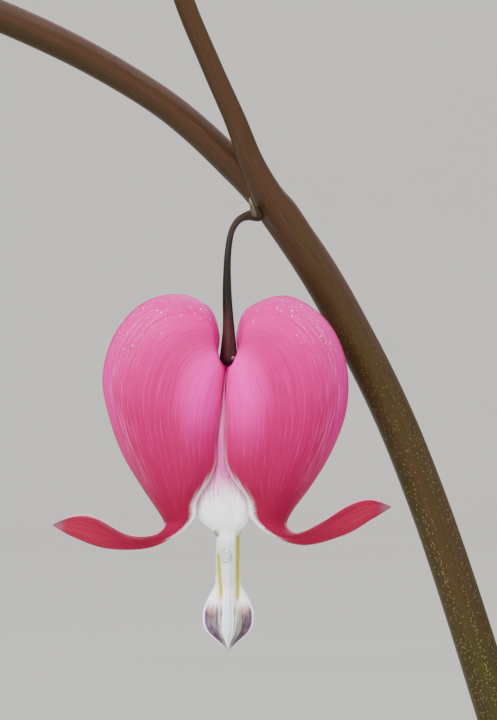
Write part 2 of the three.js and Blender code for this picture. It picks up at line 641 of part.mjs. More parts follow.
function addFloweringStems() {
  for (const key of Object.keys(STEMS)) {
    addPiece(`stem_${key}`, stemSolid(key), "stem");
    addPiece(`buds_${key}`, tipSolid(key), "outer_petal");
    HEARTS[key].forEach((plan, i) => {
      addPiece(`heart_${key}_${i + 1}`, heartSolid(key, plan), "outer_petal");
    });
  }
}

function addLeaves() {
  for (const [name, plan] of Object.entries(LEAVES)) addPiece(name, leafSolid(plan), "leaf");
}

addPotAndSoil();
addLargeFlower();
addFloweringStems();
addLeaves();

export default group;
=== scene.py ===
"""A bleeding heart in a clay pot: one large flower in front, the rest of the plant round it."""

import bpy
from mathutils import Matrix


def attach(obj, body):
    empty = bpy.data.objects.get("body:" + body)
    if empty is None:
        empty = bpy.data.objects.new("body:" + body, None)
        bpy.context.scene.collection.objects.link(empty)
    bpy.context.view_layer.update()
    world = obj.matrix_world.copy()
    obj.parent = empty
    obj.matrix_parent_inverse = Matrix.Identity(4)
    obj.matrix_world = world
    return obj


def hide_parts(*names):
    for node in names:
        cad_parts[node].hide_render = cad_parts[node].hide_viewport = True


bl_info = {
    "name": "Potted Bleeding Heart",
    "version": (1, 0, 0),
    "blender": (4, 5, 0),
    "location": "View3D > Sidebar > Bleeding Heart",
    "description": "Builds a bleeding heart with its leaves, flowers, soil and clay pot",
    "category": "Add Mesh",
}

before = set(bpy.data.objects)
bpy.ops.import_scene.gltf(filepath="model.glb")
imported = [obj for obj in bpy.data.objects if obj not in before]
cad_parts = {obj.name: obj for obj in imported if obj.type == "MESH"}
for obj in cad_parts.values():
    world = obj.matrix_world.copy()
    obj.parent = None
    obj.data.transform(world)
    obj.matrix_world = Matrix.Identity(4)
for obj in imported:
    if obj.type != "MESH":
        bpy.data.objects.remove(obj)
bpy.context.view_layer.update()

import math

import bpy
import numpy as np
from bpy.props import FloatProperty, FloatVectorProperty, IntProperty, PointerProperty
from mathutils import Vector

MM = 0.001
UP = np.array([0.0, 0.0, 1.0])
PI = math.pi

# Where the large flower's notch hangs, in millimetres; its petals are given from here
NOTCH = np.array([-78.0, -30.0, 335.0])

# Outer petals: [outward, up] from the notch in millimetres at 18 even steps, over the lobe, down
# the side and out along the spur. The keel is the outline, the front is the free edge, the side is
# the way that outward goes, and the bow is how far the sections beside the notch bulge.
PETALS = {
    "left": {
        "side": -1,
        "bow": 0.42,
        "keel": [
            (0.12, -0.55), (0.86, 0.35), (0.78, 2.4), (1.75, 4.85), (4.6, 6.02), (7.9, 5.1), (10.3, 2.4),
            (11.4, -1.2), (11.0, -4.6), (9.7, -8.4), (7.9, -11.5), (6.3, -13.9), (5.85, -15.0),
            (6.9, -15.9), (9.2, -15.8), (12.1, -14.2), (14.0, -14.1), (16.05, -15.0),
        ],
        "front": [
            (0.12, -0.55), (0.17, -0.68), (0.2, -0.95), (0.27, -1.6), (0.38, -2.4), (0.52, -3.5),
            (0.66, -4.7), (0.82, -6.1), (0.98, -7.6), (1.05, -9.3), (1.7, -11.0), (2.75, -12.7),
            (3.0, -14.3), (4.5, -15.8), (7.2, -17.05), (11.0, -17.1), (14.1, -16.05), (16.05, -15.0),
        ],
    },
    "right": {
        "side": 1,
        "bow": 0.66,
        "keel": [
            (0.12, -0.55), (0.84, 0.35), (0.78, 2.4), (1.75, 4.7), (5.0, 5.87), (7.9, 4.6), (9.9, 2.2),
            (10.9, -1.2), (10.7, -4.9), (9.4, -8.4), (7.6, -11.4), (5.9, -13.7), (5.4, -15.0),
            (6.5, -15.7), (8.6, -14.6), (11.0, -13.05), (12.9, -12.6), (14.95, -13.35),
        ],
        "front": [
            (0.12, -0.55), (-0.12, -0.68), (-0.17, -0.95), (-0.23, -1.6), (-0.26, -2.4), (-0.27, -3.5),
            (-0.28, -4.7), (-0.3, -6.1), (-0.33, -7.7), (-0.2, -9.4), (0.55, -11.0), (1.7, -12.6),
            (2.05, -14.3), (3.9, -15.9), (6.9, -16.8), (10.6, -15.85), (13.0, -14.5), (14.95, -13.35),
        ],
    },
}
# At the same steps, how deep half a section is in millimetres and how many degrees it wraps; and
# the thickness of the petals
PETAL_DEPTH = (0, 1.9, 3.0, 3.8, 4.3, 4.6, 4.7, 4.7, 4.5, 4.1, 3.5, 2.8, 2.2, 1.9, 1.8, 1.6, 1.1, 0)
PETAL_WRAP = (
    120, 128, 134, 138, 140, 140, 140, 140, 138, 134, 128, 120, 112, 106, 102, 100, 100, 100,
)
PETAL_SHEET = 0.3

# Inner petals in mm from the notch: height, half width, half depth, and the degrees that half of
# the sheet wraps
INNER_PETAL = [
    (-0.75, 0.12, 1.75, 8), (-1.25, 0.4, 2.52, 34), (-2.6, 1.0, 2.72, 50), (-4.2, 1.35, 2.86, 54),
    (-6, 1.55, 2.92, 56), (-8, 1.65, 2.9, 58), (-9.6, 1.85, 2.8, 60), (-11, 2.4, 2.62, 54),
    (-12.2, 3.3, 2.42, 44), (-13.3, 3.9, 2.2, 40), (-14.1, 3.75, 1.99, 40), (-14.8, 2.95, 1.72, 43),
    (-15.3, 1.95, 1.42, 50), (-15.8, 1.24, 1.18, 62), (-16.8, 1.13, 1.1, 66), (-17.9, 1.12, 1.05, 66),
    (-19.2, 1.08, 1.0, 66), (-19.9, 1.12, 1.0, 68), (-20.6, 1.3, 1.1, 74), (-21.3, 1.6, 1.25, 78),
    (-22.0, 1.92, 1.4, 80), (-22.8, 2.2, 1.52, 80), (-23.5, 2.24, 1.55, 80), (-24.1, 2.16, 1.5, 80),
    (-24.7, 1.86, 1.35, 78), (-25.2, 1.34, 1.1, 76), (-25.7, 0.8, 0.8, 70), (-26.2, 0.4, 0.45, 50),
    (-26.6, 0.05, 0.1, 20),
]
INNER_LENGTH = 26.6
# Sideways lean of the inner petals in mm from the notch: height and shift to the right
INNER_LEAN = [
    (-26.6, 0.03), (-16, 0.0), (-14, -0.42), (-12, -0.62), (-6, -0.58), (-2, -0.3), (-0.75, -0.05),
]
INNER_SHEET = 0.3

# Stamens down one side [outward, up] and heights down the style, in millimetres from the notch
STAMENS = [
    (0.5, -1.4), (0.6, -4), (0.75, -8), (0.85, -12), (0.92, -15.5), (0.95, -18), (0.95, -20.5),
    (0.7, -22.5),
]
STAMEN_RADII = (0.2, 0.24, 0.26, 0.26, 0.28)
STYLE = (-1.25, -8, -16, -24)
STYLE_RADII = (0.14, 0.3, 0.25, 0.2, 0.2, 0.32)
# The knobs beside the neck: how far out each side's stands; and along a knob, how far inward of
# that it lies, its depth and its height
KNOB_REACH = {-1: 1.04, 1: 0.92}
KNOB = [(0.15, -0.75, -15.2), (0, -0.85, -15.55), (0.1, -0.7, -16.0)]

# The large flower's stalk and the bract beside its foot, from the notch
FLOWER_STALK = [
    (2.7, 4.3, 13.35), (1.6, 3.4, 13.15), (0.8, 2.4, 12.6), (0.24, 1.4, 11.4), (-0.04, 0.6, 9.2),
    (-0.08, 0.2, 6.2), (0.05, 0, 3.2), (0.08, 0, 1.2), (0.08, 0, 0.0), (0.02, 0, -0.9),
]
FLOWER_STALK_RADII = (0.62, 0.4, 0.31, 0.29, 0.32, 0.41, 0.52, 0.71, 0.8, 0.24)
BRACT = [(2.35, 2.9, 13.3), (2.15, 2.6, 14.1), (1.95, 2.6, 14.8)]

# Beads of water on the front inner petal and at the stalk's foot: centre and reach
NECK_DEW = ((-0.18, -0.98, -17.75), (0.54, 0.5, 0.66))
FOOT_DEW = ((0.42, -0.6, 0.15), (0.26, 0.26, 0.2))

# Stems: points from the soil to the tip and the radius at even steps, in millimetres
STEMS = {
    "1": {
        "points": [
            (-8, 6, 98), (-12, 4, 140), (-24, -5, 205), (-39, -15, 255), (-53.8, -23, 304.1),
            (-61.2, -25, 325.9), (-67.7, -25.2, 339.5), (-72.9, -25, 347.7), (-77.1, -24.3, 352.5),
            (-85.3, -24, 359.5), (-98.7, -24, 366.5), (-120, -24, 374), (-146, -25, 376),
            (-172, -26, 370), (-196, -27, 357), (-217, -28, 339),
        ],
        "radii": (
            2.7, 2.6, 2.4, 2.15, 1.9, 1.8, 1.78, 1.7, 1.45, 1.38, 1.46, 1.38, 1.2, 1.05, 0.9, 0.75,
        ),
    },
    "2": {
        "points": [
            (14, 2, 98), (20, 0, 145), (36, -6, 210), (58, -14, 268), (88, -24, 315),
            (124, -34, 338), (160, -42, 336), (190, -48, 316), (210, -52, 290),
        ],
        "radii": (2.6, 2.5, 2.3, 2.0, 1.7, 1.4, 1.2, 1.0, 0.75),
    },
    "3": {
        "points": [
            (4, 18, 98), (8, 28, 150), (18, 52, 225), (34, 84, 290), (56, 118, 330),
            (82, 152, 342), (108, 182, 328), (128, 204, 300),
        ],
        "radii": (2.5, 2.4, 2.1, 1.8, 1.5, 1.25, 1.0, 0.75),
    },
    "4": {
        "points": [
            (10, -12, 98), (14, -26, 140), (22, -50, 190), (34, -80, 228), (50, -112, 246),
            (68, -142, 240), (84, -166, 216),
        ],
        "radii": (2.2, 2.0, 1.7, 1.4, 1.15, 0.9, 0.7),
    },
}
BRANCH = [
    (-66.2, -25.15, 336.6), (-69.4, -25.2, 342.6), (-72.7, -25.5, 347.8), (-74.4, -25.9, 350.2),
    (-75.9, -26.3, 353.2), (-77.35, -26.7, 357.0), (-79.7, -27, 362.3), (-82.4, -27, 369),
    (-86, -26, 381), (-88, -24, 394), (-87.5, -21, 405),
]
BRANCH_RADII = (0.9, 1.45, 1.62, 1.42, 1.16, 1.0, 0.94, 0.92, 0.89, 0.86, 0.85)

# Hearts along each stem: place on the stem, size, turn in degrees
HEARTS = {
    "1": [
        (0.748, 0.98, -28), (0.812, 0.95, 34), (0.872, 0.9, -30), (0.93, 0.84, 32),
        (0.982, 0.76, -24),
    ],
    "2": [
        (0.5, 1.0, 24), (0.588, 0.98, -32), (0.672, 0.94, 36), (0.756, 0.88, -28),
        (0.845, 0.82, 30), (0.94, 0.74, -20),
    ],
    "3": [(0.6, 1.0, 70), (0.7, 0.94, 20), (0.796, 0.88, 74), (0.89, 0.8, 18)],
    "4": [(0.62, 0.94, 10), (0.76, 0.86, 62), (0.9, 0.76, 4)],
}
# A small heart's notch hangs this far below its seat at size 1, and the seat stands this far off
# a level stem, and so much more off an upright one, in millimetres
HEART_DROP = 14
HEART_SEAT = 0.5
HEART_SEAT_STEEP = 0.625

# Buds at the tip of a stem: their lengths in millimetres; the place of the first one on the axis
# and the step from one to the next; and how far each hangs out and down, in its own lengths
BUD_LENGTHS = (10.4, 8.4, 6.4, 4.8)
BUD_FIRST = 0.2
BUD_SPACING = 0.25
BUD_SWING = 0.28
BUD_DROP = 0.95
# The axis of a tip in millimetres: it goes a step for each bud and droops more at each
TIP_STEP = 9
TIP_DROOP = 0.6

# Leaves: carrier, heading and rise of the stalk in degrees, stalk length, blade size, blade rise
LEAVES = {
    "leaf_01": (("branch",), 150, 52, 14, 62, 8),
    "leaf_02": (("1", 0.2), 196, 18, 62, 82, -14),
    "leaf_03": (("1", 0.135), 140, 42, 78, 84, -4),
    "leaf_04": (("1", 0.09), 240, 36, 66, 80, -14),
    "leaf_05": (("2", 0.36), 58, 40, 48, 78, 0),
    "leaf_06": (("2", 0.24), -22, 30, 62, 84, -12),
    "leaf_07": (("3", 0.4), 112, 36, 48, 76, -4),
    "leaf_08": (("3", 0.27), 24, 28, 64, 84, -10),
    "leaf_09": (("4", 0.34), 268, 16, 40, 70, -18),
    "leaf_10": (("2", 0.44), -75, 32, 36, 58, -6),
    "leaf_11": (("3", 0.52), 188, 30, 26, 50, -2),
    "leaf_12": (("soil", -14, -24), 296, 58, 104, 82, -14),
    "leaf_13": (("soil", -24, 14), 176, 64, 112, 84, -8),
    "leaf_14": (("soil", 2, 36), 96, 60, 104, 82, -12),
    "leaf_15": (("soil", 28, 10), 8, 60, 104, 82, -12),
    "leaf_16": (("soil", -4, -10), 176, 84, 140, 78, 6),
    "leaf_17": (("soil", 30, -20), 325, 50, 90, 78, -16),
    "leaf_18": (("soil", -30, -14), 205, 52, 88, 78, -18),
    "leaf_19": (("soil", -16, 34), 130, 54, 92, 78, -16),
    "leaf_20": (("soil", 26, 32), 52, 56, 96, 80, -14),
}
# Divisions of a blade of size 1: heading, stalk, and leaflets as (heading from it, length)
DIVISIONS = [
    (-62, 0.38, [(-62, 0.34), (0, 0.46), (62, 0.3)]),
    (0, 0.6, [(-62, 0.46), (0, 0.56), (62, 0.46)]),
    (62, 0.38, [(-62, 0.3), (0, 0.46), (62, 0.34)]),
]
# A blade's droop and thickness and its stalk's radii; the gap between a stem and what stands on
# it, and how far a stalk runs back into that; and the height in the soil where a stalk starts
LEAF_DROOP = 0.16
LEAF_SHEET = 0.4
LEAF_STALK_RADII = (1.1, 1.0, 0.95, 0.95, 1.15)
STEM_SEAT = 0.35
STALK_SINK = 0.8
ROOT_HEIGHT = 105

# Pot and soil in millimetres; how far out crumbs lie; and the tone of the soil under them
POT_PROFILE = [
    (0, 0), (52.5, 0), (54, 1.5), (74, 108), (78.5, 108), (79.5, 109.5), (80, 138), (78, 140),
    (72.5, 140), (70.5, 138), (47.5, 8), (0, 8),
]
DRAIN_RADIUS = 4.5
DRAIN_CIRCLE = 30
DRAIN_COUNT = 3
SOIL_PROFILE = [(0, 8.35), (47.1, 8.35), (67.0, 121), (37.1, 123.1), (0, 124)]
CRUMB_REACH = 64.5
SOIL_TONE = 0.35

# The camera's place in metres, level with the notch and in front of the photograph's middle, and
# its lens and sensor in millimetres
CAMERA_PLACE = (-0.07614, -0.53, 0.335)
CAMERA_LENS = 275
CAMERA_SENSOR = 36

# The soft lights: place and width in metres
LIGHTS = {
    "key": ((-0.9, -1.3, 1.7), 1.2),
    "fill": ((1.4, -0.9, 0.9), 1.6),
    "back": ((0.3, 1.2, 1.6), 1.2),
}
# The studio in metres: the radius of the bend from the floor to the wall, the wall's height, and
# the gap between the floor and the pot
WALL_BEND = 4
WALL_HEIGHT = 8
FLOOR_GAP = 0.0003


def spline(points, t):
    """Smooth curve through evenly spaced points, t from 0 to 1.

    Between two points it is the cubic that meets both, with slopes of half the step between each
    one's own neighbours; past the ends the first and last steps are repeated.
    """
    points = np.asarray(points, float)
    padded = np.concatenate([[2 * points[0] - points[1]], points, [2 * points[-1] - points[-2]]])
    t = np.asarray(t, float)
    place = np.clip(t, 0, 1) * (len(points) - 1)
    first = np.minimum(place.astype(int), len(points) - 2)
    f = place - first
    f = f[..., None] if points.ndim > 1 else f
    a, b, c, d = (padded[first + k] for k in range(4))
    bend = 2 * a - 5 * b + 4 * c - d + f * (3 * (b - c) + d - a)
    return b + 0.5 * f * (c - a + f * bend)


def unit(vectors):
    """Each vector divided by its own length."""
    return vectors / np.maximum(np.linalg.norm(vectors, axis=-1, keepdims=True), 1e-12)


def full_turn(count):
    """So many even angles round a full turn."""
    return np.arange(count) / count * 2 * PI


def cos_sin(degrees):
    """The cosine and sine of an angle in degrees."""
    return math.cos(math.radians(degrees)), math.sin(math.radians(degrees))


def direction(points, place):
    """The direction of the smooth curve through the points, at a place from 0 to 1."""
    step = 1e-4
    return unit(spline(points, place + step) - spline(points, place - step))


def hump(x, middle, width):
    """A bell of height 1 at the middle: e to the minus square of the distance over the width."""
    return np.exp(-(((x - middle) / width) ** 2))


def rise(x, low, high):
    """0 below low, 1 above high and the smooth step 3s^2 - 2s^3 between."""
    s = np.clip((x - low) / (high - low), 0, 1)
    return s * s * (3 - 2 * s)


def ripples(points, scale, seed, waves=9):
    """Smooth uneven relief from -1 to 1: a mean of sine waves in random directions."""
    rng = np.random.default_rng(seed)
    ways = unit(rng.normal(size=(waves, 3))) * (2 * PI / scale) * rng.uniform(0.6, 1.6, (waves, 1))
    starts = rng.uniform(0, 2 * PI, waves)
    return np.sin(points @ ways.T + starts).mean(axis=-1) * 2


def grid_shape(points, finish=0, **values):
    """A closed skin over rows of points: each row is a loop, and both end rows close on a point.

    points is rows by columns by 3 in metres; values are rows by columns by their own width.
    """
    rows, columns = points.shape[:2]
    index = np.arange(rows * columns).reshape(rows, columns)
    after = np.roll(index, -1, axis=1)
    quads = np.stack([index[:-1], after[:-1], after[1:], index[1:]], axis=-1).reshape(-1, 4)
    first, last = rows * columns, rows * columns + 1
    tris = np.concatenate(
        [
            np.stack([np.full(columns, first), after[0], index[0]], axis=-1),
            np.stack([np.full(columns, last), index[-1], after[-1]], axis=-1),
        ]
    )

    def with_ends(field):
        """The field's rows, and the mean of each end row for the point that closes it."""
        ends = [field[0].mean(axis=0)[None], field[-1].mean(axis=0)[None]]
        return np.concatenate([field.reshape(rows * columns, -1), *ends])

    shape = {
        "points": with_ends(points),
        "quads": quads,
        "tris": tris,
        "values": {name: with_ends(field) for name, field in values.items()},
        "finish": finish,
    }
    return facing_out(shape)


def facing_out(shape):
    """The same skin with its faces outwards: the signed volume over all triangles is positive."""
    p, q, t = shape["points"], shape["quads"], shape["tris"]
    corners = np.concatenate([q[:, [0, 1, 2]], q[:, [0, 2, 3]], t])
    a, b, c = (p[corners[:, k]] - p.mean(axis=0) for k in range(3))
    if np.einsum("ij,ij->", a, np.cross(b, c)) < 0:
        shape["quads"], shape["tris"] = q[:, ::-1], t[:, ::-1]
    return shape


def mesh_object(name, shapes, finishes):
    """One object from several skins, each with the material that its finish number names."""
    counts = np.cumsum([0] + [len(s["points"]) for s in shapes])
    quads = np.concatenate([s["quads"] + n for s, n in zip(shapes, counts)])
    tris = np.concatenate([s["tris"] + n for s, n in zip(shapes, counts)])
    points = np.concatenate([s["points"] for s in shapes])
    finish = np.concatenate(
        [np.full(len(s["quads"]), s["finish"]) for s in shapes]
        + [np.full(len(s["tris"]), s["finish"]) for s in shapes]
    )
    mesh = bpy.data.meshes.new(name)
    mesh.vertices.add(len(points))
    mesh.vertices.foreach_set("co", points.astype(np.float32).ravel())
    corners = np.concatenate([quads.ravel(), tris.ravel()])
    mesh.loops.add(len(corners))
    mesh.loops.foreach_set("vertex_index", corners.astype(np.int32))
    sizes = np.concatenate([np.full(len(quads), 4), np.full(len(tris), 3)])
    starts = np.concatenate([[0], np.cumsum(sizes)[:-1]])
    mesh.polygons.add(len(sizes))
    mesh.polygons.foreach_set("loop_start", starts.astype(np.int32))
    mesh.polygons.foreach_set("material_index", finish.astype(np.int32))
    mesh.update(calc_edges=True)
    mesh.shade_smooth()
    for key in sorted({key for s in shapes for key in s["values"]}):
        fields = [s["values"].get(key, np.zeros((len(s["points"]), 3))) for s in shapes]
        store = mesh.attributes.new(key, "FLOAT_VECTOR", "POINT")
        store.data.foreach_set("vector", np.concatenate(fields).astype(np.float32).ravel())
    for material in finishes:
        mesh.materials.append(material)
    if mesh.validate():
        raise RuntimeError(f"{name} has a faulty mesh")
    made = bpy.data.objects.new(name, mesh)
    bpy.context.scene.collection.objects.link(made)
    return made


def make_piece(name, shapes, finishes, nodes, cut=None):
    """A piece of the plant on the root body, in the place of its frame nodes."""
    piece = mesh_object(name, shapes, finishes)
    if cut:
        cut(piece)
    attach(piece, "root")
    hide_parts(*nodes)
    return piece


# Shapes of the plant


def path_frames(path):
    """Along a path, its direction and two directions across it.

    The first one across is the level direction square to the whole run, made square to the path
    at each point; the second is square to both.
    """
    along = unit(np.gradient(path, axis=0))
    level = np.cross(UP, path[-1] - path[0])
    if np.linalg.norm(level) < 1e-9:
        level = np.array([0.0, 1.0, 0.0])
    side = unit(level - (along @ level)[:, None] * along)
    return along, side, np.cross(along, side)


# The domed ends of a stalk, in shares of its radius: how far they reach and how wide they end
DOME_REACH = 0.4
DOME_RADIUS = 0.6


def tube_shape(path, radii, sides, finish=0, swell=0.0, ridges=0.0, flat=1.0):
    """A round stalk: each point of the path plus its radius times the cosine and sine of an angle
    along the two directions across. The ends are domed, swell adds to the radius, ridges is the
    share of it that five ridges stand up, and flat squeezes one way across.

    Its value grain is the straightened stalk: radius cosine, radius sine and length, in metres. Its
    value place is the share of the length and how far the skin faces up.
    """
    path = np.asarray(path) * MM
    radii = (np.asarray(radii) + swell) * MM
    along, side, other = path_frames(path)
    start = path[0] - along[0] * radii[0] * DOME_REACH
    end = path[-1] + along[-1] * radii[-1] * DOME_REACH
    path = np.concatenate([[start], path, [end]])
    radii = np.concatenate([[radii[0] * DOME_RADIUS], radii, [radii[-1] * DOME_RADIUS]])
    side = np.concatenate([side[:1], side, side[-1:]])
    other = np.concatenate([other[:1], other, other[-1:]])
    angle = full_turn(sides)
    cosine, sine = np.cos(angle)[None, :, None], np.sin(angle)[None, :, None]
    ribbed = (1 + ridges * np.cos(5 * angle))[None, :, None] * radii[:, None, None]
    across = ribbed * (cosine * side[:, None] + flat * sine * other[:, None])
    points = path[:, None] + across
    length = np.concatenate([[0], np.cumsum(np.linalg.norm(np.diff(path, axis=0), axis=1))])
    length = np.broadcast_to(length[:, None], (len(path), sides))
    level = radii[:, None] * np.cos(angle)
    grain = np.stack([level, radii[:, None] * np.sin(angle), length], axis=-1)
    upward = unit(across)[..., 2]
    place = np.stack([length / length[-1, 0], upward, 0 * upward], axis=-1)
    return grid_shape(points, finish, grain=grain, place=place)


def shell_shape(outer, normals, sheet, values, finish=0):
    """A thin closed sheet over a grid: its outer face, and the same face moved in by the sheet's
    thickness along the normals and walked back, so that each row is one loop.
    """
    inner = outer - normals * sheet[..., None]
    ring = np.concatenate([outer, inner[:, ::-1]], axis=1)
    fields = {}
    for name, field in values.items():
        back = field[:, ::-1].copy()
        back[..., 2] = 1
        fields[name] = np.concatenate([field, back], axis=1)
    return grid_shape(ring, finish, **fields)


def surface_normals(points, away_from):
    """Unit normals of a grid from its two slopes, turned away from a given line of points."""
    down, across = np.gradient(points, axis=0), np.gradient(points, axis=1)
    normals = unit(np.cross(down, across))
    facing = np.einsum("ijk,ijk->", normals, points - away_from)
    return normals if facing > 0 else -normals


def outer_petal_points(plan, u, v):
    """The outer face of an outer petal in millimetres from the notch.

    At each place u along it the section runs from the keel to the free edge: the share of the way
    is (1 - cos a) / (1 - cos wrap) with a = |v| wrap, and the bulge is depth times sin a, to the
    front for negative v. The sections beside the notch bow outwards, and soft folds are added to
    the bulge: a ridge beside the slit, a shallow hollow next to it, and a free edge that rolls
    outwards low down.
    """
    keel, front = spline(plan["keel"], u), spline(plan["front"], u)
    wrap = np.radians(spline(PETAL_WRAP, u))
    angle = np.abs(v) * wrap
    share = (1 - np.cos(angle)) / (1 - np.cos(wrap))
    across = np.abs(v)
    lobe = rise(u, 0.06, 0.2) * (1 - rise(u, 0.5, 0.66))
    folds = lobe * (0.06 * hump(across, 0.82, 0.1) - 0.05 * hump(across, 0.6, 0.13))
    depth = np.maximum(spline(PETAL_DEPTH, u), 0) * (1 + folds)
    curl = rise(u, 0.45, 0.62) * (1 - rise(u, 0.74, 0.84)) * rise(across, 0.86, 1.0) * 0.12
    bulge = (depth * np.sin(angle) + curl) * np.sign(v)
    flat = keel + (front - keel) * share[..., None]
    flat[..., 0] += plan["bow"] * hump(u, 0.125, 0.075) * 4 * share * (1 - share)
    return np.stack([plan["side"] * flat[..., 0], bulge, flat[..., 1]], axis=-1)


def outer_petal_shape(plan, along, across):
    """An outer petal as a thin sheet, with u and v of its points kept as the value petal."""
    ends = 0.004
    u = np.linspace(ends, 1 - ends, along)[:, None]
    v = np.linspace(-1, 1, across)[None, :]
    u, v = np.broadcast_arrays(u, v)
    outer = outer_petal_points(plan, u, v)
    middle = outer.mean(axis=1, keepdims=True)
    normals = surface_normals(outer, middle)
    sheet = PETAL_SHEET * np.minimum(1, np.minimum(u, 1 - u) * 12)
    values = {"petal": np.stack([u, v, 0 * u], axis=-1)}
    return shell_shape(outer, normals, sheet, values)


def inner_petal_shape(facing, along, across, finish=0):
    """An inner petal as a thin bent sheet in millimetres from the notch.

    Across a section the half width follows the sine and the half depth the cosine of an angle
    from minus to plus the edge angle. The hooded tip has a crest down its middle, a hollow on
    each side of it and a rim turned outwards.
    """
    table = np.array(INNER_PETAL)
    t = np.linspace(0, 1, along)[:, None]
    v = np.linspace(-1, 1, across)[None, :]
    t, v = np.broadcast_arrays(t, v)
    row = spline(table, t)
    height, width, depth = row[..., 0], np.maximum(row[..., 1], 0.03), np.maximum(row[..., 2], 0.05)
    angle = np.radians(np.clip(row[..., 3], 2, 84)) * v
    hood = rise(-height, 20.2, 21.8) * (1 - rise(-height, 25.6, INNER_LENGTH))
    crest = rise(-height, 16.2, 21.5) * (1 - rise(-height, 25.9, INNER_LENGTH))
    relief = 0.34 * crest * hump(width * np.sin(angle), 0, 0.36)
    relief = relief - 0.26 * hood * (hump(v, 0.45, 0.26) + hump(v, -0.45, 0.26))
    flare = 0.12 * hood * rise(np.abs(v), 0.82, 1)
    skirt = rise(-height, 10.5, 13.5) * (1 - rise(-height, 14.2, 15.6))
    relief = relief + 0.06 * skirt * np.cos(9 * v)
    x = (width + flare) * np.sin(angle) + np.interp(height, *zip(*INNER_LEAN))
    y = facing * (depth * np.cos(angle) + relief)
    outer = np.stack([x, y, height], axis=-1)
    middle = outer.mean(axis=1, keepdims=True) * [1, 0.2, 1]
    normals = surface_normals(outer, middle)
    sheet = INNER_SHEET * np.minimum(1, np.minimum(t, 1 - t) * 14)
    values = {"petal": np.stack([-height / INNER_LENGTH, v, 0 * v], axis=-1)}
    values["reach"] = np.stack([x, height, 0 * v], axis=-1)
    return shell_shape(outer, normals, sheet, values, finish)


def placed(shape, size=1.0, turn=0.0, to=(0, 0, 0)):
    """The skin scaled, turned about the upright axis by degrees, moved by to, and put in metres."""
    c, s = cos_sin(turn)
    spin = np.array([[c, -s, 0], [s, c, 0], [0, 0, 1]])
    shape["points"] = (shape["points"] * size @ spin.T + np.asarray(to)) * MM
    return shape


def heart_places(key, place, size):
    """Where a small heart's stalk leaves its stem, and where its notch hangs below, in mm."""
    stem = STEMS[key]
    at = spline(stem["points"], place)
    along = direction(stem["points"], place)
    under = unit(along * along[2] - UP)
    top = at + under * (spline(stem["radii"], place) * 0.6)
    off = spline(stem["radii"], place) + HEART_SEAT + HEART_SEAT_STEEP * abs(along[2])
    return top, at + under * off - UP * HEART_DROP * size


def heart_shapes(key, place, size, turn, seed):
    """A smaller heart: both outer petals, both inner petals and the stalk."""
    rng = np.random.default_rng(seed)
    top, notch = heart_places(key, place, size)
    shapes = []
    for plan in PETALS.values():
        shapes.append(placed(outer_petal_shape(plan, along=46, across=17), size, turn, notch))
    for facing in (-1, 1):
        petal = inner_petal_shape(facing, along=34, across=11, finish=1)
        shapes.append(placed(petal, size, turn, notch))
    t = np.linspace(0, 1, 14)
    sway = np.append(rng.normal(size=2) * 0.35, 0)
    quarter, lower = top * 0.75 + notch * 0.25 + sway, top * 0.4 + notch * 0.6
    stalk = spline([top, quarter, lower, notch - UP * 1.2 * size], t)
    radii = spline((0.5, 0.32, 0.3, 0.36, 0.62), t) * size
    shapes.append(tube_shape(stalk, radii, sides=8, finish=2))
    return shapes


def bud_shape(centre, length, turn):
    """A closed bud: a body of revolution whose radius follows the square root of its share from
    the top times a power of its share to the tip, flattened, with a groove front and back where
    petals meet.
    """
    t = np.linspace(0.01, 0.99, 18)[:, None]
    t, angle = np.broadcast_arrays(t, full_turn(16))
    profile = np.sqrt(t) * (1 - t) ** 0.62 * 1.9
    groove = 1 - 0.16 * (1 - 0.5 * t) * np.abs(np.sin(angle)) ** 10
    radius = length / 4 * profile * groove
    x = radius * np.cos(angle) * (1.08 + 0.1 * (1 - t))
    points = np.stack([x, radius * np.sin(angle) * 0.86, length * (0.5 - t)], axis=-1)
    value = np.stack([t, np.sin(angle), 0 * t], axis=-1)
    return placed(grid_shape(points, petal=value), turn=turn, to=centre)


def tip_shapes(key):
    """The young end of a flowering stem: its axis, and buds hanging left and right in turn."""
    stem = STEMS[key]
    run = direction(stem["points"], 1.0)
    level = unit(run * [1, 1, 0])
    start = spline(stem["points"], 1.0) + run * STEM_SEAT
    axis = [start + run * i * TIP_STEP - level * i * i * TIP_DROOP for i in range(4)]
    t = np.linspace(0, 1, 22)
    path = spline(axis, t)
    path[0] -= run * STEM_SEAT
    radii = spline((stem["radii"][-1], 0.6, 0.5, 0.4), t)
    shapes = [tube_shape(path, radii, sides=8, finish=1)]
    turn = math.degrees(math.atan2(level[1], level[0]))
    for i, length in enumerate(BUD_LENGTHS):
        origin = spline(axis, BUD_FIRST + BUD_SPACING * i)
        swing = np.cross(level, UP) * (1 if i % 2 else -1) * length * BUD_SWING
        centre = origin + swing - UP * length * BUD_DROP
        bend = (origin + centre) / 2 + UP * length * 0.15
        stalk = spline([origin, bend, centre + UP * length * 0.3], np.linspace(0, 1, 7))
        shapes.append(tube_shape(stalk, np.linspace(0.36, 0.3, 7), sides=6, finish=1))
        shapes.append(bud_shape(centre, length, turn))
    return shapes


# Half a leaflet's edge, base at the origin and tip at (1, 0), with one side lobe
LEAFLET_EDGE = [
    (0.0, 0.0), (0.09, 0.045), (0.22, 0.115), (0.38, 0.215), (0.53, 0.31), (0.65, 0.365),
    (0.735, 0.372), (0.73, 0.3), (0.675, 0.2), (0.715, 0.175), (0.79, 0.17), (0.88, 0.125),
    (0.95, 0.06), (1.0, 0.0),
]
# Side veins of a leaflet: how far back each starts, for each millimetre of its width, and how many
VEIN_SLANT = 0.75
SIDE_VEINS = 7


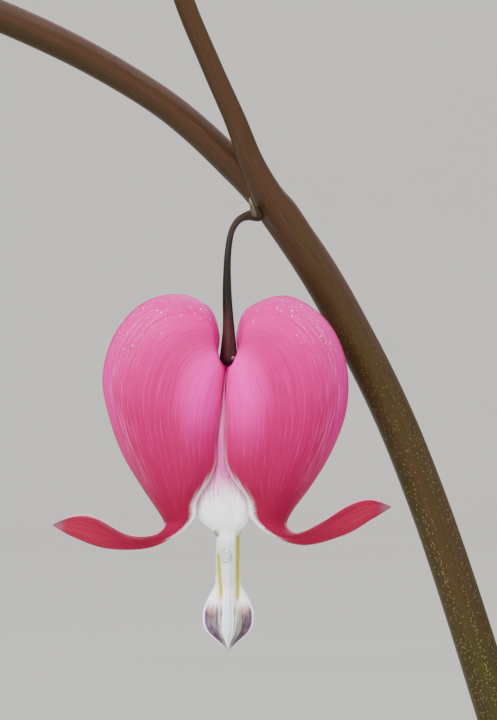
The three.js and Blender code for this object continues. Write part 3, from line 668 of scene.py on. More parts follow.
def leaf_frame(carrier, heading, lift, rise_angle, stalk):
    """The start, bend and end of a leaf's stalk, and the blade's forward, side and normal."""
    level = np.array([*cos_sin(heading), 0.0])
    away, forward = (level * c + UP * s for c, s in (cos_sin(rise_angle), cos_sin(lift)))
    if carrier[0] == "soil":
        start = np.array([carrier[1], carrier[2], ROOT_HEIGHT], float)
    elif carrier[0] == "branch":
        start = spline(BRANCH, 1.0) + direction(BRANCH, 1.0) * STEM_SEAT * 3
    else:
        stem, place = STEMS[carrier[0]], carrier[1]
        along = direction(stem["points"], place)
        off = unit(level - along * (level @ along))
        lean = math.sqrt(max(0.0, 1 - (away @ off) ** 2))
        reach = spline(stem["radii"], place) + LEAF_STALK_RADII[0] * lean + STEM_SEAT
        start = spline(stem["points"], place) + off * reach
    bend = start + away * stalk * 0.55
    end = bend + unit(away * 0.4 + forward * 0.6) * stalk * 0.45
    side = np.cross(UP, level)
    return start, bend, end, forward, side, np.cross(forward, side)


def blade_points(frame_of_leaf, size, a, b, height):
    """Points of a blade: a forward and b sideways in blade sizes, height in mm above a sheet that
    bends down with the square of the distance from the blade's middle.
    """
    _, _, middle, forward, side, normal = frame_of_leaf
    drop = LEAF_DROOP * size * (a * a + b * b)
    across = (a * size)[..., None] * forward + (b * size)[..., None] * side
    return middle + across + (height - drop)[..., None] * normal


def leaflet_shape(frame_of_leaf, size, base, heading, length, seed):
    """One leaflet as a thin sheet between its edge and its midrib.

    Each row is a side vein: it runs from a point of the midrib, set back by the edge's own width
    times the veins' slant, straight to the edge. The sheet is folded up along the midrib, sunk
    along its veins, waved along the edge and bent down at the tip.
    """
    rng = np.random.default_rng(seed)
    rows, half = 30, 6
    k = np.linspace(0.012, 0.988, rows)
    edge = spline(LEAFLET_EDGE, k)
    edge[:, 0] += 0.012 * np.sin(k * 23 + rng.uniform(0, 6)) * np.sin(PI * k)
    edge[:, 1] = np.maximum(edge[:, 1], 0.004)
    origin = np.clip(edge[:, 0] - VEIN_SLANT * edge[:, 1], 0, 1)
    r = np.linspace(-1, 1, 2 * half + 1)[None, :]
    x = origin[:, None] + (edge[:, :1] - origin[:, None]) * np.abs(r)
    y = edge[:, 1:] * r
    uneven = 1 + 0.1 * rng.normal() * np.sign(r)
    y = y * uneven
    mm = length * size
    fold, droop, roll = 0.22 + 0.06 * rng.normal(), 0.1 + 0.05 * rng.random(), 0.16 * rng.normal()
    wave = 0.035 * np.sin(k[:, None] * 15 + rng.uniform(0, 6)) * np.abs(r) ** 2
    quilt = 0.012 * np.sin(origin[:, None] * 2 * PI * SIDE_VEINS) * np.abs(r) * (1 - np.abs(r)) * 4
    height = fold * np.abs(y) + roll * y + wave + quilt - droop * x * x
    rib = 0.012 * hump(y, 0, 0.02) * (1 - x)
    c, s = cos_sin(heading)
    a = base[0] + length * (x * c - y * s)
    b = base[1] + length * (x * s + y * c)
    outer = blade_points(frame_of_leaf, size, a, b, (height - rib) * mm)
    normals = surface_normals(outer, outer - frame_of_leaf[5])
    taper = np.minimum(1, 0.35 + 2.2 * (1 - np.abs(r))) * np.minimum(1, 12 * k * (1 - k))[:, None]
    sheet = LEAF_SHEET * np.broadcast_to(taper, x.shape)
    value = np.stack([np.broadcast_to(origin[:, None], x.shape), y, np.zeros_like(x)], axis=-1)
    shape = shell_shape(outer, normals, sheet, {"leaf": value})
    shape["points"] = shape["points"] * MM
    return shape


def leaf_shapes(name, plan):
    """A whole leaf: its stalk, the three branches of the stalk and nine leaflets."""
    carrier, heading, lift_of_stalk, stalk, size, lift = plan
    made = leaf_frame(carrier, heading, lift, lift_of_stalk, stalk)
    start, bend, end = made[:3]
    t = np.linspace(0, 1, 26)
    path = spline([start, bend, end], t)
    if carrier[0] != "soil":
        path[0] = path[0] + unit(path[0] - path[1]) * STALK_SINK
    shapes = [tube_shape(path, spline(LEAF_STALK_RADII, t), sides=10, finish=1)]
    seed = int(name[-2:]) * 100
    for number, (turn, reach, leaflets) in enumerate(DIVISIONS):
        s = np.linspace(0, 1, 9)
        way = np.array(cos_sin(turn))
        line = blade_points(made, size, way[0] * reach * s, way[1] * reach * s, 0 * s)
        shapes.append(tube_shape(line, 0.95 - 0.4 * s, sides=7, finish=1))
        for place, (lean, length) in enumerate(leaflets):
            key = seed + number * 10 + place
            base = way * reach
            shapes.append(leaflet_shape(made, size, base, turn + lean, length, key))
    return shapes


def rounded(profile, reach, steps):
    """A turned profile with its corners eased: each corner gives way to the curve that starts and
    ends reach millimetres from it, at most a third of the way to the next one, and bends to it.
    """
    corners = [np.array(p, float) for p in profile]
    line = [corners[0]]
    for before, corner, after in zip(corners, corners[1:], corners[2:]):
        near = [
            corner + unit(other - corner) * min(reach, np.linalg.norm(other - corner) / 3)
            for other in (before, after)
        ]
        for s in np.linspace(0, 1, steps):
            line.append((1 - s) ** 2 * near[0] + 2 * s * (1 - s) * corner + s * s * near[1])
    return np.array(line + [corners[-1]])


def filled_out(line, longest):
    """The same profile with points added so that no step is longer than the longest, in mm."""
    out = [line[0]]
    for a, b in zip(line, line[1:]):
        count = max(1, math.ceil(np.linalg.norm(b - a) / longest))
        out += [a + (b - a) * i / count for i in range(1, count + 1)]
    return np.array(out)


def turned_shape(profile, columns, relief=None):
    """A profile of [radius, height] in mm carried round the upright axis; it starts and ends on
    the axis. relief moves the finished points.
    """
    inside = profile[1:-1]
    angle = full_turn(columns)
    radius, height = inside[:, :1], inside[:, 1:]
    x, y = radius * np.cos(angle), radius * np.sin(angle)
    points = np.stack([x, y, np.broadcast_to(height, x.shape)], axis=-1)
    if relief:
        points = relief(points)
    return grid_shape(points * MM)


# An icosahedron's corners and faces, for the crumbs of soil
GOLDEN = (1 + 5**0.5) / 2
CRUMB_CORNERS = [
    (-1, GOLDEN, 0), (1, GOLDEN, 0), (-1, -GOLDEN, 0), (1, -GOLDEN, 0),
    (0, -1, GOLDEN), (0, 1, GOLDEN), (0, -1, -GOLDEN), (0, 1, -GOLDEN),
    (GOLDEN, 0, -1), (GOLDEN, 0, 1), (-GOLDEN, 0, -1), (-GOLDEN, 0, 1),
]
CRUMB_FACES = [
    (0, 11, 5), (0, 5, 1), (0, 1, 7), (0, 7, 10), (0, 10, 11), (1, 5, 9), (5, 11, 4), (11, 10, 2),
    (10, 7, 6), (7, 1, 8), (3, 9, 4), (3, 4, 2), (3, 2, 6), (3, 6, 8), (3, 8, 9), (4, 9, 5),
    (2, 4, 11), (6, 2, 10), (8, 6, 7), (9, 8, 1),
]


def crumbs_shape(count, smallest, largest, seed):
    """Crumbs of soil: turned icosahedrons with uneven corners, strewn evenly over the disc that is
    the soil's top. The value tone is a random number of each crumb, from 0 to 1.
    """
    rng = np.random.default_rng(seed)
    turns = np.linalg.qr(rng.normal(size=(count, 3, 3)))[0]
    turns[:, :, 0] *= np.sign(np.linalg.det(turns))[:, None]
    sizes = smallest + (largest - smallest) * rng.random(count) ** 3
    corners = np.array(CRUMB_CORNERS) / np.linalg.norm(CRUMB_CORNERS[0])
    lumpy = 1 + 0.22 * rng.normal(size=(count, len(corners), 1))
    flat = rng.uniform(0.55, 1, (count, 1, 3))
    points = (corners * lumpy * flat * sizes[:, None, None] / 2) @ turns
    radius = CRUMB_REACH * np.sqrt(rng.random(count))
    angle = rng.uniform(0, 2 * PI, count)
    places = np.stack([radius * np.cos(angle), radius * np.sin(angle), soil_height(radius)], axis=-1)
    places[:, 2] += sizes * 0.12
    points = points + places[:, None]
    faces = np.array(CRUMB_FACES)[None] + (np.arange(count) * len(corners))[:, None, None]
    tone = np.repeat(rng.random(count), len(corners))
    return {
        "points": points.reshape(-1, 3) * MM,
        "quads": np.zeros((0, 4), int),
        "tris": faces.reshape(-1, 3),
        "values": {"tone": np.stack([tone, tone * 0, tone * 0], axis=-1)},
        "finish": 0,
    }


def soil_height(radius):
    """The height of the soil's top at a radius, in mm, between the corners of its profile."""
    return np.interp(radius, *zip(*SOIL_PROFILE[:1:-1]))


def soil_shapes(count, largest):
    """The body of soil with a lumpy top, and the crumbs that lie on it; sizes are in mm."""

    def lumps(points):
        """Raises and sinks the top by large and small ripples."""
        top = rise(points[..., 2], 119, 121)
        large, small = ripples(points, scale=9, seed=5), ripples(points, scale=3.4, seed=6)
        points[..., 2] += top * (0.5 * large + 0.35 * small)
        return points

    line = filled_out(np.array(SOIL_PROFILE), longest=1.5)
    body = turned_shape(line, columns=150, relief=lumps)
    body["values"]["tone"] = np.full((len(body["points"]), 3), SOIL_TONE)
    crumbs = crumbs_shape(count, smallest=0.8, largest=largest, seed=7)
    return [body, crumbs, crumbs_shape(150, smallest=2.4, largest=4.6, seed=8)]


def pot_shape():
    """The pot: its profile with eased corners carried round, with faint turning lines, a slow
    wander of the wall and a rubbed rim.
    """

    def turning(points):
        """Moves the wall outwards by sine waves of its height and by ripples, more at the rim."""
        height = points[..., 2:]
        lines = 0.06 * np.sin(height * 2.3) + 0.05 * np.sin(height * 5.1 + 1)
        wander = 0.12 * ripples(points, scale=60, seed=11)[..., None]
        rubbed = 0.07 * ripples(points, scale=7, seed=12)[..., None] * rise(height, 104, 112)
        wall = rise(height, 1.5, 6)
        outwards = unit(points * [1, 1, 0])
        return points + outwards * wall * (lines + wander + rubbed)

    line = filled_out(rounded(POT_PROFILE, reach=1.4, steps=5), longest=1.3)
    return turned_shape(line, columns=160, relief=turning)


def cut_drain_holes(pot):
    """Cuts the drain holes through the pot's floor with upright cylinders on one circle."""
    line = np.array([(0, -3), (DRAIN_RADIUS, -3), (DRAIN_RADIUS, 12), (0, 12)], float)
    cutters = []
    for i in range(DRAIN_COUNT):
        angle = 2 * PI * i / DRAIN_COUNT + PI / 6
        shape = turned_shape(line, columns=40)
        shape["points"] += np.array([math.cos(angle), math.sin(angle), 0]) * DRAIN_CIRCLE * MM
        cutters.append(shape)
    tool = mesh_object("drain_cutter", cutters, [])
    cut = pot.modifiers.new("Drain holes", "BOOLEAN")
    cut.operation, cut.solver, cut.object = "DIFFERENCE", "EXACT", tool
    seen = pot.evaluated_get(bpy.context.evaluated_depsgraph_get())
    whole = pot.data
    pot.data = bpy.data.meshes.new_from_object(seen)
    pot.modifiers.clear()
    pot.data.set_sharp_from_angle(angle=math.radians(45))
    for mesh in (whole, tool.data):
        bpy.data.meshes.remove(mesh)


def stem_shape(points, radii, joints, step, sides):
    """A stem along its curve, rings a step apart in mm, thicker where stalks leave it.

    Each joint adds a bell of a fifth of the radius; five faint ridges run along the stem.
    """
    points = np.asarray(points, float)
    length = np.linalg.norm(np.diff(points, axis=0), axis=1).sum()
    t = np.linspace(0, 1, int(length / step))
    radius = spline(radii, t)
    swell = sum((0.2 * radius * hump(t, place, 4.5 / length) for place in joints), np.zeros_like(t))
    return tube_shape(spline(points, t), radius, sides, swell=swell, ridges=0.022)


def stem_shapes(key):
    """A main stem with swellings under its leaves and hearts, and the first one's side branch."""
    stem = STEMS[key]
    leaves = [plan[0][1] for plan in LEAVES.values() if plan[0][0] == key]
    joints = leaves + [heart[0] for heart in HEARTS[key]]
    fine = key == "1"
    step, sides = (0.8, 44) if fine else (1.6, 20)
    shapes = [stem_shape(stem["points"], stem["radii"], joints, step, sides)]
    if fine:
        shapes.append(stem_shape(BRANCH, BRANCH_RADII, joints=[0, 0.99], step=0.4, sides=40))
    return shapes


def blossom_petal(side):
    """One outer petal of the large flower, with the fine grid that its near view needs."""
    return placed(outer_petal_shape(PETALS[side], along=190, across=61), to=NOTCH)


def dew_shape(centre, reach, finish):
    """A bead of water, partly sunk in what carries it: an ellipsoid by its angles."""
    t = np.linspace(0.05, 0.95, 20)[:, None] * PI
    t, angle = np.broadcast_arrays(t, full_turn(32))
    points = np.stack([np.sin(t) * np.cos(angle), np.sin(t) * np.sin(angle), np.cos(t)], axis=-1)
    return placed(grid_shape(points * reach + centre, finish, reach=points), to=NOTCH)


def hood_shapes(facing):
    """One inner petal of the large flower; the front one carries a bead of water."""
    shapes = [placed(inner_petal_shape(facing, along=150, across=45), to=NOTCH)]
    if facing < 0:
        shapes.append(dew_shape(*NECK_DEW, finish=1))
    return shapes


def stamen_shapes(side):
    """Three filaments side by side along one edge of the large flower's middle, their swollen
    ends, and the small pale knob that shows beside the neck.
    """
    t = np.linspace(0, 1, 60)
    line = spline(STAMENS, t)
    shapes = []
    for shift in (-0.3, 0.0, 0.3):
        outward = side * line[:, 0] * (1 - 0.1 * abs(shift))
        path = np.stack([outward, shift * np.sin(PI * t), line[:, 1]], axis=-1)
        radii = spline(STAMEN_RADII, t) * 0.62 + 0.18 * hump(t, 0.97, 0.05)
        shapes.append(tube_shape(path + NOTCH, radii, sides=10))
    t = np.linspace(0, 1, 12)
    knob = [(side * (KNOB_REACH[side] - inward), y, z) for inward, y, z in KNOB]
    radii = 0.1 + 0.18 * np.sin(PI * t)
    shapes.append(tube_shape(spline(knob, t) + NOTCH, radii, sides=14, finish=1))
    return shapes


def style_shape():
    """The style down the middle of the large flower."""
    t = np.linspace(0, 1, 50)
    height = spline(STYLE, t)
    path = np.stack([0 * t, 0 * t, height], axis=-1) + NOTCH
    return tube_shape(path, spline(STYLE_RADII, t), sides=12)


def flower_stalk_shape():
    """The large flower's stalk, which widens into the foot that its petals grow from."""
    t = np.linspace(0, 1, 110)
    path = spline(FLOWER_STALK, t) + NOTCH
    swell = 0.05 * hump(t, 0.0, 0.06)
    return tube_shape(path, spline(FLOWER_STALK_RADII, t), sides=28, swell=swell, ridges=0.03)


def bract_shape():
    """The small dry bract at the foot of the stalk: a flat tapering tongue."""
    t = np.linspace(0, 1, 30)
    path = spline(BRACT, t) + NOTCH
    return tube_shape(path, 0.34 * (1 - t) ** 0.6 + 0.05, sides=14, flat=0.45)


# Finishes


class Finish:
    """A material, and the calls that add its nodes; each call gives back a node's output."""

    def __init__(self, name, values):
        """A new material with the values set on its shader."""
        self.material = bpy.data.materials.new(name)
        self.material.use_nodes = True
        self.tree = self.material.node_tree
        self.skin = self.tree.nodes["Principled BSDF"]
        self.wire(self.skin, values)

    def wire(self, node, values):
        """Links or sets a node's inputs, given by name or number."""
        for key, value in values.items():
            socket = node.inputs[key]
            if isinstance(value, bpy.types.NodeSocket):
                self.tree.links.new(value, socket)
            elif socket.type == "RGBA":
                socket.default_value = (*tuple(value)[:3], 1)
            else:
                socket.default_value = value

    def add(self, kind, values, output=0, **settings):
        """One node with its inputs wired; output names the one that is given back."""
        node = self.tree.nodes.new(kind)
        for key, value in settings.items():
            setattr(node, key, value)
        self.wire(node, values)
        return node.outputs[output]

    def place(self):
        """The point of the surface, in metres."""
        return self.add("ShaderNodeTexCoord", {}, "Object")

    def parts(self, vector):
        """A vector's three numbers."""
        return tuple(self.add("ShaderNodeSeparateXYZ", {0: vector}).node.outputs)

    def kept(self, name):
        """The vector that the mesh keeps under a name."""
        return self.add("ShaderNodeAttribute", {}, "Vector", attribute_name=name)

    def stored(self, name):
        """The three numbers that the mesh keeps under a name."""
        return self.parts(self.kept(name))

    def vector(self, x, y, z):
        """A vector of three numbers."""
        return self.add("ShaderNodeCombineXYZ", {0: x, 1: y, 2: z})

    def stretched(self, vector, x, y, z):
        """A vector with each number multiplied by its own factor."""
        return self.add("ShaderNodeVectorMath", {0: vector, 1: (x, y, z)}, operation="MULTIPLY")

    def sum(self, *values):
        """The sum of numbers."""
        total = values[0]
        for value in values[1:]:
            total = self.add("ShaderNodeMath", {0: total, 1: value}, operation="ADD")
        return total

    def times(self, *values):
        """The product of numbers."""
        total = values[0]
        for value in values[1:]:
            total = self.add("ShaderNodeMath", {0: total, 1: value}, operation="MULTIPLY")
        return total

    def swing(self, value, reach):
        """A number from 0 to 1 made to swing about 0, over the reach."""
        return self.times(self.sum(value, -0.5), reach)

    def size(self, value):
        """A number without its sign."""
        return self.add("ShaderNodeMath", {0: value}, operation="ABSOLUTE")

    def step(self, value, start, end):
        """0 at the start, 1 at the end and a smooth slope between."""
        values = {0: value, 1: start, 2: end, 3: 0.0, 4: 1.0}
        return self.add("ShaderNodeMapRange", values, interpolation_type="SMOOTHSTEP")

    def bell(self, value, middle, width):
        """1 in the middle, falling smoothly to 0 a width away on both sides."""
        return self.step(self.size(self.sum(value, -middle)), width, 0.0)

    def band(self, value, start, end, soft):
        """1 from start to end, with smooth slopes of the soft width outside."""
        return self.times(self.step(value, start - soft, start), self.step(value, end + soft, end))

    def mix(self, share, first, second):
        """The first colour where the share is 0, the second where it is 1."""
        values = {0: share, 6: first, 7: second}
        return self.add("ShaderNodeMix", values, 2, data_type="RGBA")

    def shaded(self, colour, layers):
        """A colour with layers laid over it in turn: [numbers whose product is the share, colour]."""
        for *shares, over in layers:
            colour = self.mix(self.times(*shares), colour, over)
        return colour

    def ramp(self, value, stops):
        """Colours along a number: [place, colour]."""
        fade = self.add("ShaderNodeValToRGB", {0: value})
        stripes = fade.node.color_ramp.elements
        for stripe, (place, colour) in zip(stripes, (stops[0], stops[-1])):
            stripe.position, stripe.color = place, (*colour, 1)
        for place, colour in stops[1:-1]:
            stripes.new(place).color = (*colour, 1)
        return fade

    def noise(self, vector, scale, detail=2.0, rough=0.5, bend=0.0):
        """Soft noise between 0 and 1."""
        values = {"Vector": vector, "Scale": scale, "Detail": detail, "Roughness": rough}
        return self.add("ShaderNodeTexNoise", {**values, "Distortion": bend})

    def strands(self, along, across, changes_along, changes_across, start=0.0, bend=0.0):
        """Noise drawn out along a petal, with so many changes along it and across it."""
        grid = self.vector(self.times(along, changes_along), self.times(across, changes_across), start)
        return self.noise(grid, 1.0, 3, 0.6, bend)

    def fibres(self, across, along, detail=3, rough=0.6):
        """Noise drawn out along a stalk, with so many changes in a metre across it and along it."""
        grain = self.stretched(self.kept("grain"), across, across, along)
        return self.noise(grain, 1.0, detail, rough)

    def dots(self, vector, scale):
        """Scattered points: the distance from the nearest one, and three random numbers of it."""
        near = self.add("ShaderNodeTexVoronoi", {"Vector": vector, "Scale": scale}, "Distance")
        return near, self.parts(near.node.outputs["Color"])

    def done(self, colour, relief, depth, **values):
        """Wires the colour, the normal bent by a relief of a depth in metres and the inputs named,
        and gives back the material.
        """
        normal = self.add("ShaderNodeBump", {"Height": relief, "Distance": depth})
        named = {key.replace("_", " "): value for key, value in values.items()}
        self.wire(self.skin, {"Base Color": colour, "Normal": normal, **named})
        return self.material


def clay_finish(tones, name):
    """Terracotta: mottled clay, turning lines, pale lime bloom in patches and darker damp feet."""
    f = Finish(name, {"Specular IOR Level": 0.25})
    place = f.place()
    height = f.parts(place)[2]
    mottle = f.noise(place, 38, 5, 0.6)
    lines = f.noise(f.stretched(place, 6, 6, 700), 1.0, 3, 0.6)
    grit = f.noise(place, 900, 3, 0.7)
    patches = f.noise(place, 17, 6, 0.62, 0.6)
    rim = f.bell(height, 0.139, 0.008)
    bloom = f.sum(f.step(patches, 0.52, 0.74), f.times(f.band(height, 0.02, 0.075, 0.03), 0.25))
    damp = f.times(f.step(height, 0.03, 0.0), f.step(patches, 0.7, 0.4))
    fired = f.mix(f.step(mottle, 0.3, 0.72), tones.clay_dark, tones.clay)
    colour = f.shaded(
        fired,
        [
            (f.step(lines, 0.5, 0.75), 0.35, tones.clay_light),
            (bloom, f.step(grit, 0.25, 0.75), 0.5, tones.clay_bloom),
            (damp, 0.45, tones.clay_dark),
            (rim, f.step(grit, 0.35, 0.7), 0.35, tones.clay_light),
            (f.step(grit, 0.66, 0.74), 0.4, tones.clay_bloom),
        ],
    )
    relief = f.sum(f.times(lines, 0.6), f.times(grit, 0.5), f.times(mottle, 0.4))
    rough = f.sum(0.72, f.times(bloom, 0.14), f.times(grit, 0.1))
    return f.done(colour, relief, 0.0002, Roughness=rough)


def soil_finish(tones, name):
    """Compost: dark crumbs of many tones with bits of fibre and pale grit."""
    f = Finish(name, {"Specular IOR Level": 0.3})
    place = f.place()
    tone = f.stored("tone")[0]
    grain = f.noise(place, 700, 5, 0.7)
    damp = f.noise(place, 45, 3, 0.5)
    fibre = f.noise(f.stretched(place, 1500, 160, 600), 1.0, 2, 0.5)
    colour = f.shaded(
        f.mix(f.step(grain, 0.3, 0.7), tones.soil_dark, tones.soil),
        [
            (f.step(tone, 0.55, 1.0), 0.6, tones.soil_light),
            (f.step(fibre, 0.66, 0.74), 0.5, tones.soil_light),
            (f.step(tone, 0.965, 0.975), 0.8, tones.soil_grit),
            (f.step(damp, 0.5, 0.7), 0.45, tones.soil_dark),
        ],
    )
    rough = f.sum(0.95, f.times(damp, -0.25))
    return f.done(colour, grain, 0.0006, Roughness=rough)


def stem_finish(tones, name):
    """Stem skin: brown above and olive below, with maroon streaks, painted maroon shade on the side
    that faces down, a painted mauve highlight on the side that faces up, and rows of pale specks
    low down.
    """
    f = Finish(name, {"Specular IOR Level": 0.1})
    upward = f.stored("place")[1]
    height = f.parts(f.place())[2]
    long_streaks = f.fibres(1300, 60, 4, 0.6)
    fine = f.fibres(4200, 260)
    flush = f.fibres(300, 38, 3, 0.5)
    # tilt is how far the skin faces up, made uneven: it places painted shade below and a painted
    # highlight on top
    tilt = f.sum(upward, f.swing(flush, 0.9), f.swing(long_streaks, 0.7))
    greener = f.step(f.sum(height, f.times(flush, 0.04)), 0.371, 0.338)
    middle = f.mix(greener, tones.stem_brown, tones.stem_olive)
    specks, (chosen, _, _) = f.dots(f.stretched(f.kept("grain"), 6800, 6800, 3300), 1.0)
    rows = f.fibres(2300, 12, 2, 0.5)
    dotted = f.times(f.step(specks, 0.4, 0.2), f.step(f.sum(chosen, f.times(rows, 2.6)), 1.84, 2.1))
    colour = f.shaded(
        middle,
        [
            (f.step(flush, 0.47, 0.34), 0.7, tones.stem_olive),
            (f.step(flush, 0.54, 0.68), 0.5, tones.stem_brown),
            (f.step(rows, 0.5, 0.62), 0.45, tones.stem_maroon),
            # painted shade on the side that faces down, then a painted highlight on the side that faces
            # up
            (f.step(tilt, 0.05, -0.62), 0.9, tones.stem_maroon),
            (f.step(tilt, 0.25, 0.85), 0.7, tones.stem_mauve_and_highlight),
            (f.step(long_streaks, 0.56, 0.7), 0.4, tones.stem_maroon),
            (f.step(fine, 0.58, 0.72), 0.3, tones.stem_mauve_and_highlight),
            (dotted, f.step(height, 0.347, 0.318), 0.75, tones.stem_speck),
        ],
    )
    relief = f.sum(f.times(long_streaks, 0.7), f.times(fine, 0.35), f.times(dotted, 0.3))
    rough = f.sum(0.36, f.times(fine, 0.16), f.times(f.step(tilt, 0.2, 0.9), 0.14))
    return f.done(colour, relief, 0.00009, Roughness=rough)


def stalk_finish(tones, name, top, foot):
    """Thin stalks: one tone at the start and another at the end, with fine streaks, pale dots and a
    painted mauve highlight on the side that faces up.
    """
    f = Finish(name, {"Specular IOR Level": 0.12})
    share, upward, _ = f.stored("place")
    streaks = f.fibres(2400, 150, 4, 0.6)
    dots, (_, chosen, _) = f.dots(f.stretched(f.kept("grain"), 5200, 5200, 3600), 1.0)
    dotted = f.times(f.step(dots, 0.3, 0.14), f.step(chosen, 0.62, 0.72))
    body = f.mix(f.step(f.sum(share, f.swing(streaks, 0.3)), 0.62, 0.85), top, foot)
    # painted highlight: the side that faces up is lightened with mauve
    lit = f.times(f.step(upward, 0.1, 0.9), 0.2)
    colour = f.shaded(
        body,
        [
            (f.step(streaks, 0.56, 0.72), 0.4, tones.stem_maroon),
            (f.step(share, 0.4, 0.1), 0.35, tones.stem_mauve_and_highlight),
            (lit, tones.stem_mauve_and_highlight),
            (dotted, 0.25, tones.stem_speck),
        ],
    )
    rough = f.sum(0.36, f.times(streaks, 0.2))
    return f.done(colour, streaks, 0.00008, Roughness=rough)


def leaf_finish(tones, name):
    """Leaf blade: soft matt green, paler sunk veins, a flush of maroon at the tip, and a greyer
    underside.
    """
    f = Finish(name, {"Specular IOR Level": 0.35, "Subsurface Weight": 0.12, "Subsurface Scale": 0.001})
    origin, side, under = f.stored("leaf")
    place = f.place()
    cloud = f.noise(place, 42, 4, 0.55)
    pores = f.noise(place, 1500, 3, 0.7)
    web = f.add("ShaderNodeTexVoronoi", {"Vector": place, "Scale": 620.0}, feature="DISTANCE_TO_EDGE")
    turn = f.add("ShaderNodeMath", {0: f.times(origin, SIDE_VEINS)}, operation="FRACT")
    half = f.size(side)
    side_vein = f.times(f.bell(turn, 0.75, 0.09), f.step(half, 0.36, 0.12))
    midrib = f.step(half, 0.022, 0.006)
    vein = f.add("ShaderNodeMath", {0: f.times(side_vein, 0.55), 1: midrib}, operation="MAXIMUM")
    net = f.times(f.step(web, 0.1, 0.02), 0.3)
    green = f.mix(f.step(cloud, 0.3, 0.7), tones.leaf_deep, tones.leaf)
    tip = f.times(f.step(f.sum(origin, f.swing(cloud, 0.5)), 0.8, 1.05), 0.35)
    above = f.shaded(
        green,
        [
            (f.step(pores, 0.4, 0.75), 0.22, tones.leaf_light),
            (tip, tones.stem_maroon),
            (net, 0.7, tones.leaf_light),
            (vein, 0.6, tones.leaf_light),
        ],
    )
    below = f.mix(f.times(vein, 0.6), tones.leaf_under, tones.leaf_light)
    relief = f.sum(f.times(vein, -0.8), f.times(pores, 0.3), f.times(net, -0.6), f.times(cloud, 0.5))
    rough = f.sum(0.5, f.times(pores, 0.2), f.times(under, 0.12))
    colour = f.mix(under, above, below)
    return f.done(colour, relief, 0.00025, Roughness=rough)


